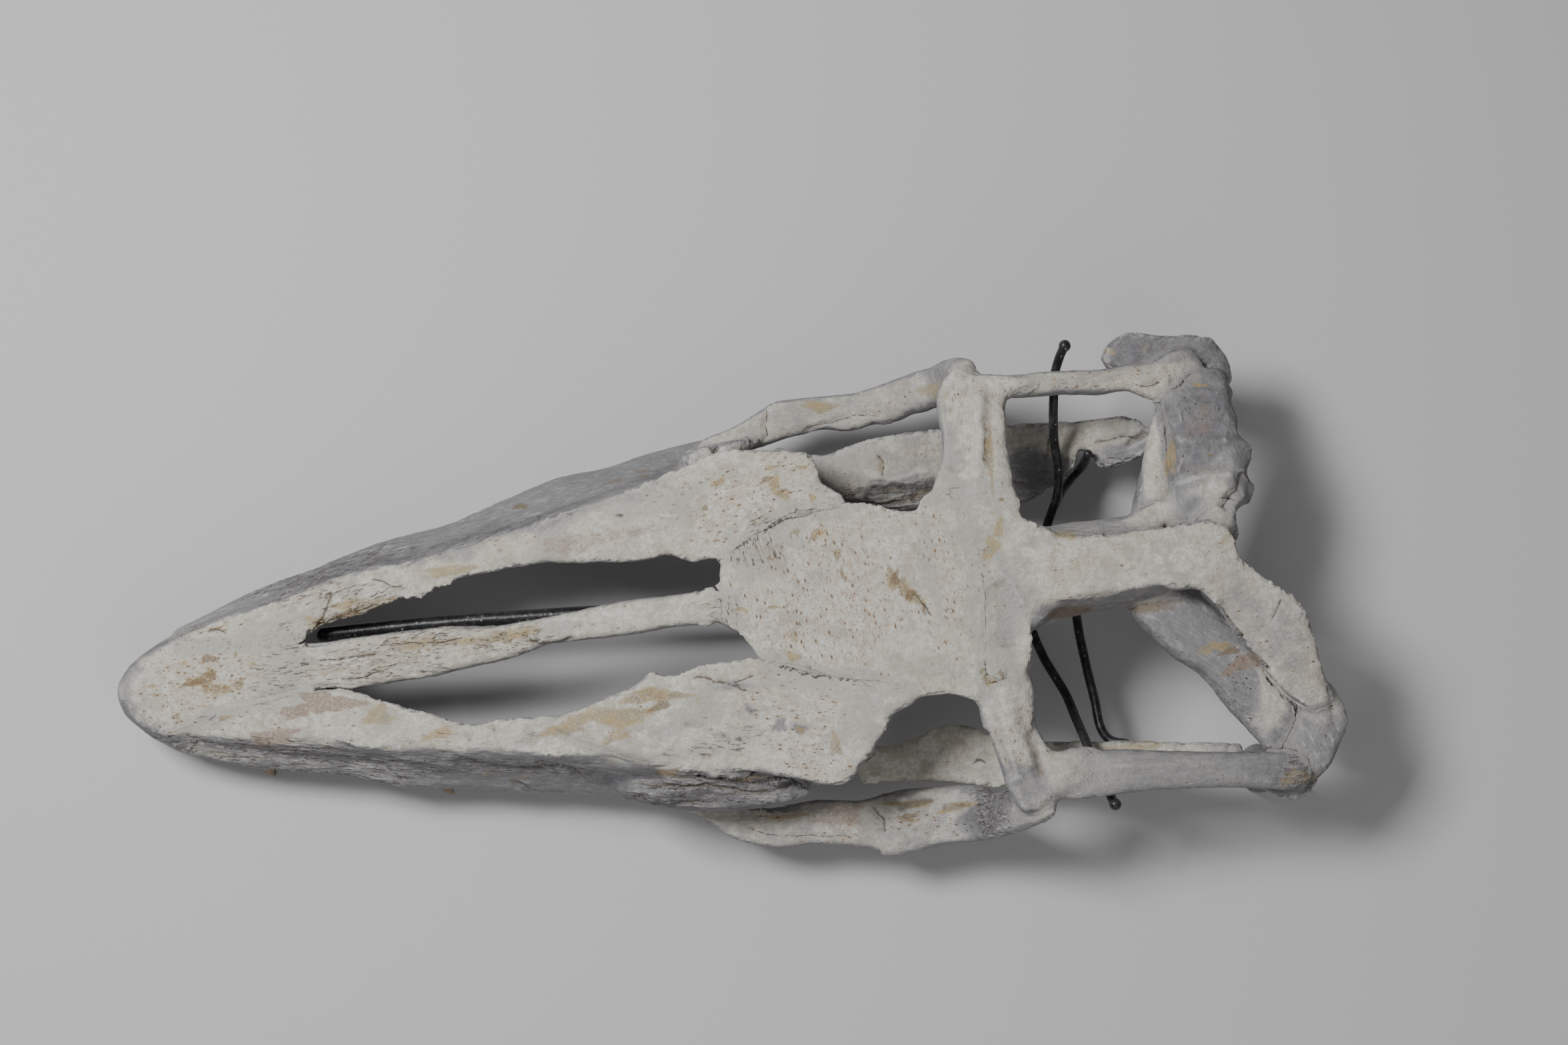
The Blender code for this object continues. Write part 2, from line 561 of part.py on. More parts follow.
def quadrate(side, foot, head, flange):
    """Jaw hinge bone: head, shaft, foot that rests on the ground, flange and hook."""
    x, y = foot
    shape = Shape()
    shape.bar([(x + 6, y - side * 4, 88, 30, 24), (x + 2, y - side, 76, 26, 20), (x - 2, y, 58, 22, 16),
               (x - 3, y, 38, 22, 15), (x - 2, y - side, 20, 30, 17), (x - 1, y - side * 2, 6, 36, 19),
               (x - 1, y - side * 2, -3, 30, 17)], up=(1, 0, 0), square=2.4)
    shape.blend(head)
    shape.wall(flange, 6, [(0.35, -side, 0)] * 4)
    shape.bar([(x + 10, y - side * 12, 86, 13, 12), (x + 17, y - side * 15, 74, 12, 12),
               (x + 17, y - side * 15, 58, 10, 10), (x + 12, y - side * 14, 46, 7, 7)], up=(1, 0, 0))
    return shape


def quadrate_head(rows):
    """Cross sections of a quadrate's head, from x, its inner and outer edge, and its top."""
    return [[(x, near, top - 9), (x, near, top - 2), (x, (near + far) / 2, top), (x, far, top - 3),
             (x, far, top - 9), (x, (near + far) / 2, top - 14)]
            for x, near, far, top in rows]


def quadrate_right():
    """Right quadrate, whose flange stands out in front of the temporal bar's end."""
    head = quadrate_head([(556, 112, 119, 87), (562, 108, 125, 88), (573, 107, 127.5, 90),
                          (585, 104, 124, 92), (598, 100, 122, 93), (611, 96, 121, 93),
                          (619, 93, 113, 92), (623, 95, 103, 90)])
    flange = [[(559, 116, 84), (565, 117, 70), (573, 115, 54), (582, 111, 40)],
              [(572, 126, 82), (577, 125, 66), (583, 121, 50), (590, 114, 36)],
              [(590, 123, 82), (592, 122, 66), (594, 118, 48), (597, 112, 34)]]
    return quadrate(1, (602, 106), head, flange)


def quadrate_left():
    """Left quadrate, whose head shows behind the end of the left temporal bar."""
    head = quadrate_head([(607, -108, -116, 84), (613, -106, -123, 87), (620, -105, -130, 90),
                          (630, -106, -131, 91), (638, -108, -126, 90), (642, -111, -119, 88)])
    flange = [[(588, -110, 80), (592, -111, 68), (598, -111, 54), (604, -110, 40)],
              [(600, -119, 80), (603, -120, 66), (607, -119, 50), (611, -116, 36)],
              [(614, -125, 80), (615, -124, 66), (616, -122, 48), (618, -118, 34)]]
    return quadrate(-1, (622, -114), head, flange)


def pterygoid_right():
    """Right palate bone: a broad plate with a steep inner face, broken off behind."""
    shape = Shape()
    shape.slab([(396, 82, 50), (410, 88, 50), (425, 91, 50), (444, 92, 50), (462, 93, 50),
                (490, 92, 49), (515, 90, 49), (536, 88, 50), (565, 87, 53), (576, 83, 55),
                (577, 78, 56), (586, 77, 60), (585, 72, 60), (580, 67, 59), (567, 62, 54),
                (551, 60, 52), (546, 71, 51), (539, 72, 50), (536, 60, 49), (527, 60, 48),
                (512, 58, 47), (500, 60, 46), (470, 64, 47), (440, 66, 49), (418, 62, 49),
                (402, 62, 49)], 7)
    shape.bar([(402, 68, 44, 10, 8), (424, 62, 41, 16, 14), (448, 59, 39, 18, 15),
               (476, 57, 38, 18, 13), (500, 54, 37, 16, 10), (514, 56, 40, 12, 8),
               (530, 62, 43, 8, 6)], square=2.2)
    shape.bar([(416, 80, 45, 12, 8), (470, 84, 44, 14, 9), (530, 80, 45, 12, 8),
               (564, 74, 51, 12, 7)], square=2)
    return shape


def pterygoid_left():
    """Left palate bone, whose hind arm reaches back under the temporal bar."""
    shape = Shape()
    shape.slab([(400, -96, 48), (414, -96, 48), (439, -99, 48), (468, -105, 49), (482, -107, 51),
                (500, -108, 54), (520, -109, 58), (548, -109, 62), (560, -93, 64), (541, -89, 63),
                (527, -88, 61), (506, -86, 56), (488, -84, 52), (475, -79, 49), (465, -73, 47),
                (454, -70, 46), (443, -70, 46), (431, -76, 47), (418, -80, 48), (402, -78, 48)], 7)
    shape.bar([(404, -86, 43, 16, 10), (430, -84, 41, 18, 12), (454, -82, 40, 20, 13),
               (478, -90, 43, 18, 12), (506, -97, 49, 16, 11), (534, -100, 56, 15, 11)])
    shape.bar([(530, -99, 59, 20, 9), (552, -99, 64, 17, 9), (574, -101, 68, 14, 10),
               (594, -103, 71, 12, 12), (604, -104, 72, 10, 12)])
    return shape


def palatine(side, outer):
    """Plate of the palate between the upper jaw and the pterygoid."""
    shape = Shape()
    shape.slab([(x, side * y, z) for x, y, z in
                ((296, outer - 10, 47), (306, outer, 48), (340, outer + 6, 49), (374, outer + 7, 50),
                 (398, outer + 4, 50), (410, outer - 4, 50), (404, outer - 18, 50),
                 (380, outer - 28, 50),
                 (350, outer - 36, 49), (324, outer - 34, 48), (306, outer - 24, 47))], 6)
    shape.bar([(310, side * (outer - 14), 43, 10, 6), (350, side * (outer - 16), 42, 16, 10),
               (400, side * (outer - 8), 43, 16, 9)], square=2)
    return shape


def braincase():
    """Box around the brain, its rounded joint for the neck, and its two side processes."""
    shape = Shape()
    shape.bar([(498, 0, 84, 16, 18), (514, 0, 84, 26, 26), (532, 1, 86, 34, 32), (550, 1, 86, 36, 34),
               (568, 0, 86, 42, 38), (584, 0, 88, 38, 34), (598, 0, 90, 26, 24)], square=2.3)
    shape.bar([(490, 0, 76, 5, 6), (510, 0, 73, 8, 9), (534, 0, 69, 14, 13), (556, 0, 66, 22, 16),
               (576, 0, 66, 28, 16), (594, 0, 68, 22, 16)], square=2)
    shape.ball(599, 0, 69, 20, 27, 20)
    shape.bar([(556, 12, 62, 8, 8), (570, 15, 60, 11, 12), (584, 12, 62, 9, 8)])
    shape.bar([(556, -12, 62, 8, 8), (570, -15, 60, 11, 12), (584, -12, 62, 9, 8)])
    shape.bar([(566, -14, 92, 34, 26), (579, -32, 94, 34, 24), (593, -48, 95, 34, 22),
               (606, -66, 95, 33, 20), (617, -83, 94, 29, 18), (623, -97, 92, 24, 14),
               (628, -106, 89, 16, 9)], square=2.6)
    shape.bar([(568, 16, 90, 22, 24), (571, 34, 92, 20, 20), (576, 50, 95, 18, 16),
               (580, 68, 97, 14, 14), (584, 86, 97, 8, 9)])
    shape.bar([(580, 30, 94, 26, 14), (588, 48, 94, 20, 14), (592, 70, 92, 14, 12)])
    return shape


def main():
    """Build every bone, from the ones on top down to the ones that they cut back."""
    clear_scene()
    skull = Skull()
    skull.add("steel_armature", steel_armature(), 460, skull.steel, cell=1.0, passes=3)
    skull.add("premaxilla", premaxilla(), 470)
    skull.add("frontal", frontal(), 310)
    skull.add("parietal", parietal(), 460)
    skull.add("prefrontal_right", prefrontal_right(), 250)
    skull.add("prefrontal_left", prefrontal_left(), 250)
    skull.add("postorbitofrontal_right", postorbitofrontal_right(), 220)
    skull.add("postorbitofrontal_left", postorbitofrontal_left(), 220)
    skull.add("maxilla_right", maxilla_right(), 740)
    skull.add("maxilla_left", maxilla_left(), 740)
    skull.add("jugal_right", jugal_right(), 190)
    skull.add("jugal_left", jugal_left(), 210)
    skull.add("squamosal_right", squamosal_right(), 150)
    skull.add("squamosal_left", squamosal_left(), 160)
    skull.add("supratemporal_right", supratemporal_right(), 180)
    skull.add("supratemporal_left", supratemporal_left(), 150)
    skull.add("braincase", braincase(), 380, skull.shade)
    skull.add("quadrate_right", quadrate_right(), 310, skull.shade)
    skull.add("quadrate_left", quadrate_left(), 300, skull.shade)
    skull.add("pterygoid_right", pterygoid_right(), 270)
    skull.add("pterygoid_left", pterygoid_left(), 270)
    skull.add("palatine_right", palatine(1, 82), 120)
    skull.add("palatine_left", palatine(-1, 84), 120)


if __name__ == "__main__":
    main()
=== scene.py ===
"""Fossil mosasaur skull: weathered bones, black armature, pale floor and soft light.

Skull coordinates are millimetres: x runs back from the tip of the snout, y runs to the
skull's right of its mid line, and z runs up from the surface that it rests on.
"""

import logging
import math
from dataclasses import dataclass, field
from enum import Enum
from typing import Iterable, Sequence

import bmesh
import bpy
import numpy as np
from mathutils import Matrix, Vector
from mathutils.bvhtree import BVHTree

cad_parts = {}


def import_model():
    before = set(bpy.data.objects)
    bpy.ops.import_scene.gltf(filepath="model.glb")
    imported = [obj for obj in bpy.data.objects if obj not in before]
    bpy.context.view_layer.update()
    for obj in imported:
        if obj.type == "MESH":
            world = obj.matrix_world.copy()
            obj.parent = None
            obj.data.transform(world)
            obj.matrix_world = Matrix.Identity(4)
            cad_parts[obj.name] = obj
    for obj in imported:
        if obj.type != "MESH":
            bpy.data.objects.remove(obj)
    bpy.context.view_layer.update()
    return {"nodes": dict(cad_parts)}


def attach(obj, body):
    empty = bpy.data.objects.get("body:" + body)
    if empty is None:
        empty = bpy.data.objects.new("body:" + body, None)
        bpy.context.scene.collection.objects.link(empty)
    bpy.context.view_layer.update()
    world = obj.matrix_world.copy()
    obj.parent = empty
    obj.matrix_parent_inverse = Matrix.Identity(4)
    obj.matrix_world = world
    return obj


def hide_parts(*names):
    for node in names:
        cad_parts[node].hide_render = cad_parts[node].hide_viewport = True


LOG = logging.getLogger("skull")

MM = 0.001
MID_LENGTH = 329.9          # middle of the skull's length, from the tip of the snout
MID_OFFSET = -4.05          # middle of the skull's width, off its mid line

Point = tuple[float, float, float]
Route = tuple[Point, ...]


def to_skull(points: np.ndarray) -> np.ndarray:
    """Turn points in metres in the frame into skull millimetres."""
    return points / MM + np.array((MID_LENGTH, MID_OFFSET, 0.0))


def to_frame(points: np.ndarray) -> np.ndarray:
    """Turn points in skull millimetres into metres in the frame."""
    return (points - np.array((MID_LENGTH, MID_OFFSET, 0.0))) * MM


def smoothstep(low: float, high: float, value: np.ndarray) -> np.ndarray:
    """A soft ramp of value from 0 at low to 1 at high."""
    t = np.clip((value - low) / (high - low), 0.0, 1.0)
    return t * t * (3.0 - 2.0 * t)


def settle(obj: bpy.types.Object) -> None:
    """Turn an object's modifiers into plain mesh."""
    graph = bpy.context.evaluated_depsgraph_get()
    made = bpy.data.meshes.new_from_object(obj.evaluated_get(graph), preserve_all_data_layers=True,
                                           depsgraph=graph)
    obj.modifiers.clear()
    old = obj.data
    obj.data = made
    bpy.data.meshes.remove(old)


def new_object(name: str, mesh: bpy.types.Mesh) -> bpy.types.Object:
    """Put a mesh in the scene as an object at the origin."""
    obj = bpy.data.objects.new(name, mesh)
    bpy.context.scene.collection.objects.link(obj)
    return obj


def read_points(mesh: bpy.types.Mesh) -> tuple[np.ndarray, np.ndarray]:
    """Read a mesh's points and its normals at them.

    Args:
        mesh: the mesh, in metres in the frame.

    Returns:
        The points in skull millimetres, and the unit normals.
    """
    count = len(mesh.vertices)
    points = np.empty(count * 3, dtype=np.float32)
    normals = np.empty(count * 3, dtype=np.float32)
    mesh.vertices.foreach_get("co", points)
    mesh.vertex_normals.foreach_get("vector", normals)
    return to_skull(points.reshape(-1, 3).astype(float)), normals.reshape(-1, 3).astype(float)


def write_points(mesh: bpy.types.Mesh, points: np.ndarray) -> None:
    """Move a mesh's points to the given skull millimetres."""
    mesh.vertices.foreach_set("co", to_frame(points).astype(np.float32).ravel())
    mesh.update()


def write_mask(mesh: bpy.types.Mesh, name: str, values: np.ndarray) -> None:
    """Store one number per point under a name that materials and node trees read."""
    layer = mesh.attributes.get(name) or mesh.attributes.new(name, "FLOAT", "POINT")
    layer.data.foreach_set("value", values.astype(np.float32))


def smoothed(mesh: bpy.types.Mesh, points: np.ndarray, rounds: int) -> np.ndarray:
    """Average each point of a mesh with its neighbours, over and over.

    Args:
        mesh: the mesh.
        points: its points in skull millimetres.
        rounds: how many times they are averaged.

    Returns:
        The smoothed points.
    """
    edges = np.empty(len(mesh.edges) * 2, dtype=np.int32)
    mesh.edges.foreach_get("vertices", edges)
    ends = np.concatenate((edges[0::2], edges[1::2]))
    others = np.concatenate((edges[1::2], edges[0::2]))
    number = np.bincount(ends, minlength=len(points))[:, None]
    smooth = points.copy()
    for _ in range(rounds):
        total = np.stack([np.bincount(ends, smooth[others, axis], len(points)) for axis in range(3)],
                         axis=1)
        smooth = 0.5 * smooth + 0.5 * total / number
    return smooth


def hollows(mesh: bpy.types.Mesh, rounds: int) -> np.ndarray:
    """Measure how far each point lies below a smoothed copy of its mesh.

    Args:
        mesh: the mesh.
        rounds: smoothing rounds; more of them measure wider hollows.

    Returns:
        The depth at each point in mm, which is below 0 on edges that stand out.
    """
    points, normals = read_points(mesh)
    return np.einsum("ij,ij->i", smoothed(mesh, points, rounds) - points, normals)


Link = bpy.types.NodeSocket


@dataclass
class Graph:
    """A node tree that is being built, for materials and for shapes alike."""

    tree: bpy.types.NodeTree

    def node(self, kind: str, **settings: object) -> bpy.types.Node:
        """Add a node and set its options."""
        made = self.tree.nodes.new(kind)
        for name, value in settings.items():
            setattr(made, name, value)
        return made

    def feed(self, socket: Link, value: object) -> None:
        """Give an input a link, or else a constant."""
        if isinstance(value, bpy.types.NodeSocket):
            self.tree.links.new(value, socket)
        else:
            socket.default_value = value

    def math(self, operation: str, first: object, second: object = 0.0) -> Link:
        """Work out one number from one or two others."""
        node = self.node("ShaderNodeMath", operation=operation)
        self.feed(node.inputs[0], first)
        self.feed(node.inputs[1], second)
        return node.outputs[0]

    def total(self, *values: object) -> Link:
        """Add any number of numbers."""
        result = values[0]
        for value in values[1:]:
            result = self.math("ADD", result, value)
        return result

    def product(self, *values: object) -> Link:
        """Multiply any number of numbers."""
        result = values[0]
        for value in values[1:]:
            result = self.math("MULTIPLY", result, value)
        return result

    def vector(self, operation: str, first: object, second: object) -> Link:
        """Work out a vector, or for DOT_PRODUCT a number, from two vectors."""
        node = self.node("ShaderNodeVectorMath", operation=operation)
        self.feed(node.inputs[0], first)
        self.feed(node.inputs["Scale"] if operation == "SCALE" else node.inputs[1], second)
        return node.outputs["Value" if operation == "DOT_PRODUCT" else "Vector"]

    def stretched(self, place: Link, along: object, share: float) -> Link:
        """Squeeze a place along one direction, so that a pattern on it is drawn out that way.

        Args:
            place: the place to start from.
            along: the unit direction.
            share: how much of the length goes, from 0 to 1.

        Returns:
            The squeezed place.
        """
        length = self.math("MULTIPLY", self.vector("DOT_PRODUCT", place, along), share)
        return self.vector("SUBTRACT", place, self.vector("SCALE", along, length))

    def noise(self, place: Link, scale: object, detail: float = 2.0, rough: float = 0.5) -> Link:
        """Soft noise from 0 to 1."""
        node = self.node("ShaderNodeTexNoise")
        self.feed(node.inputs["Vector"], place)
        self.feed(node.inputs["Scale"], scale)
        self.feed(node.inputs["Detail"], detail)
        self.feed(node.inputs["Roughness"], rough)
        return node.outputs[0]

    def ridge(self, value: Link) -> Link:
        """Turn noise into thin crests, 1 where it passes through its middle."""
        away = self.math("ABSOLUTE", self.math("SUBTRACT", value, 0.5))
        return self.math("SUBTRACT", 1.0, self.math("MULTIPLY", away, 2.0))

    def ramp(self, value: object, low: object, high: object, start: object = 0.0,
             end: object = 1.0) -> Link:
        """A soft ramp from start at low to end at high."""
        node = self.node("ShaderNodeMapRange", interpolation_type="SMOOTHSTEP")
        for socket, given in zip(node.inputs, (value, low, high, start, end)):
            self.feed(socket, given)
        return node.outputs[0]

    def mix(self, share: object, first: object, second: object, blend: str = "MIX") -> Link:
        """Mix two colours."""
        node = self.node("ShaderNodeMix", data_type="RGBA", blend_type=blend)
        self.feed(node.inputs[0], share)
        for socket, given in ((node.inputs[6], first), (node.inputs[7], second)):
            self.feed(socket, given if isinstance(given, bpy.types.NodeSocket) else (*given, 1.0))
        return node.outputs[2]

    def sockets(self, inputs: dict[str, str], outputs: dict[str, str]) -> dict[str, Link]:
        """Give the tree its own inputs and outputs.

        Args:
            inputs: kind of each input by its name, such as Float.
            outputs: kind of each output by its name.

        Returns:
            The inner end of each input by its name.
        """
        for name, kind in inputs.items():
            self.tree.interface.new_socket(name, in_out="INPUT", socket_type="NodeSocket" + kind)
        for name, kind in outputs.items():
            self.tree.interface.new_socket(name, in_out="OUTPUT", socket_type="NodeSocket" + kind)
        start = self.node("NodeGroupInput")
        return {name: start.outputs[name] for name in inputs}

    def finish(self, **results: Link) -> None:
        """Link the results to the tree's outputs, in order."""
        end = self.node("NodeGroupOutput")
        for socket, result in zip(end.inputs, results.values()):
            self.feed(socket, result)

    def use(self, group: bpy.types.NodeTree, **values: object) -> dict[str, Link]:
        """Place a group in this tree.

        Args:
            group: the group.
            values: what its inputs are given, in order.

        Returns:
            The group's outputs by name.
        """
        node = self.node("ShaderNodeGroup", node_tree=group)
        for socket, value in zip(node.inputs, values.values()):
            self.feed(socket, value)
        return {socket.name: socket for socket in node.outputs}


class Stain(Enum):
    """What a mark changes on the bone, by the name of its mask. The grey, pale and slate marks are
    partly painted shade and painted light.
    """

    OCHRE = "ochre"
    BROWN = "brown"
    FILLER = "filler"
    PORES = "pores"
    ROUGH = "rough"
    PINK = "pink"
    # a dark slate mark; on the right pterygoid's lower face it is painted shade
    SLATE_AND_PAINTED_SHADE = "slate"
    # greyer bone: its own grey tone, and in many marks painted shade on shaded faces and where the light
    # falls off
    GREY_AND_PAINTED_SHADE = "grey"
    # paler bone: its own pale patches, and painted light on parts that lie in the skull's shadow
    PALE_AND_PAINTED_LIGHT = "pale"


@dataclass(frozen=True)
class Mark:
    """A soft-edged patch on the surface."""

    stain: Stain
    centre: Point
    length: float               # half its size along x, in mm
    width: float                # half its size across, in mm
    strength: float = 1.0

    def cover(self, points: np.ndarray) -> np.ndarray:
        """How strongly the mark covers each point, inside a lobed outline."""
        gap = (points - np.array(self.centre)) / np.array((self.length, self.width, 14.0))
        turn = np.arctan2(gap[:, 1], gap[:, 0])
        lobes = 1.0 + 0.24 * np.sin(2.0 * turn + self.centre[0])
        lobes += 0.2 * np.sin(3.0 * turn + self.centre[1])
        lobes += 0.12 * np.sin(7.0 * turn + self.length)
        return self.strength * (1.0 - smoothstep(0.4, 1.3, np.linalg.norm(gap, axis=1) * lobes))


@dataclass(frozen=True)
class Crack:
    """A crack, suture, groove or ridge along a route on the surface."""

    route: Route
    line: float = 0.5           # half the width of the dark line, in mm
    groove: float = 1.8         # half the width of the groove, in mm
    depth: float = 0.7          # depth of the groove in mm, below 0 for a ridge
    wander: float = 0.5         # how far it strays from a smooth route, in mm
    reach: float = 6.0          # how far above or below its route the surface may lie, in mm

    def path(self, seed: int) -> np.ndarray:
        """The route as a wandering line with a point every 2 mm.

        Args:
            seed: seed of the wandering.

        Returns:
            The points of the line.
        """
        corners = np.array(self.route, dtype=float)
        steps = np.linalg.norm(np.diff(corners, axis=0), axis=1)
        along = np.concatenate(((0.0,), np.cumsum(steps)))
        spots = np.linspace(0.0, along[-1], max(3, int(along[-1] / 2.0)))
        line = np.stack([np.interp(spots, along, corners[:, axis]) for axis in range(3)], axis=1)
        for _ in range(3):
            line[1:-1] = 0.25 * line[:-2] + 0.5 * line[1:-1] + 0.25 * line[2:]
        stray = np.random.default_rng(seed).normal(size=line.shape) * self.wander
        stray[1:-1] = 0.25 * stray[:-2] + 0.5 * stray[1:-1] + 0.25 * stray[2:]
        return line + stray


@dataclass
class Surface:
    """What is carved and painted on one bone, point by point."""

    points: np.ndarray
    normals: np.ndarray
    side: np.ndarray = field(init=False)        # signed distance to the nearest crack
    line: np.ndarray = field(init=False)        # half the width of its dark line
    lift: np.ndarray = field(init=False)        # how far the surface moves out
    stains: dict[Stain, np.ndarray] = field(init=False)

    def __post_init__(self) -> None:
        """Start with a clean surface."""
        count = len(self.points)
        self.side = np.full(count, 9.0)
        self.line = np.zeros(count)
        self.lift = np.zeros(count)
        self.stains = {stain: np.zeros(count) for stain in Stain}

    def paint(self, mark: Mark) -> None:
        """Lay a mark on the surface."""
        mask = self.stains[mark.stain]
        np.maximum(mask, mark.cover(self.points), out=mask)

    def carve(self, crack: Crack, seed: int) -> None:
        """Cut a crack into the surface.

        Args:
            crack: the crack.
            seed: seed of its wandering.
        """
        path = crack.path(seed)
        margin = 3.0 * crack.groove + 4.0
        inside = np.all((self.points > path.min(axis=0) - margin)
                        & (self.points < path.max(axis=0) + margin), axis=1)
        chosen = np.flatnonzero(inside)
        if not len(chosen):
            return
        points, normals = self.points[chosen], self.normals[chosen]
        best = np.full(len(chosen), 1e9)
        across = np.zeros(len(chosen))
        share = np.zeros(len(chosen))
        above = np.zeros(len(chosen))
        for index, (start, end) in enumerate(zip(path[:-1], path[1:])):
            run = end - start
            t = np.clip((points - start) @ run / (run @ run), 0.0, 1.0)
            gap = points - start - t[:, None] * run
            over = np.einsum("ij,ij->i", gap, normals)
            flat = gap - over[:, None] * normals
            width = np.linalg.norm(flat, axis=1)
            sign = np.sign(np.einsum("ij,ij->i", np.cross(run, flat), normals))
            near = np.hypot(width, 0.5 * over)
            closer = near < best
            best[closer] = near[closer]
            across[closer] = (np.where(sign < 0.0, -1.0, 1.0) * width)[closer]
            share[closer] = ((index + t) / (len(path) - 1))[closer]
            above[closer] = over[closer]
        taper = smoothstep(0.0, 0.12, share) * smoothstep(1.0, 0.88, share)
        taper *= 1.0 - smoothstep(0.6 * crack.reach, crack.reach, np.abs(above))
        self.lift[chosen] -= crack.depth * taper * np.exp(-(across / crack.groove) ** 2)
        drawn = (np.abs(across) < 3.0) & (np.abs(across) < np.abs(self.side[chosen]))
        spots = chosen[drawn]
        self.side[spots] = across[drawn]
        self.line[spots] = (crack.line * taper)[drawn]

    def settle(self, mesh: bpy.types.Mesh) -> None:
        """Move the mesh's points and store its masks."""
        self.points += self.lift[:, None] * self.normals
        write_points(mesh, self.points)
        write_mask(mesh, "crack", self.side)
        write_mask(mesh, "crack_line", self.line)
        for stain, mask in self.stains.items():
            write_mask(mesh, stain.value, mask)


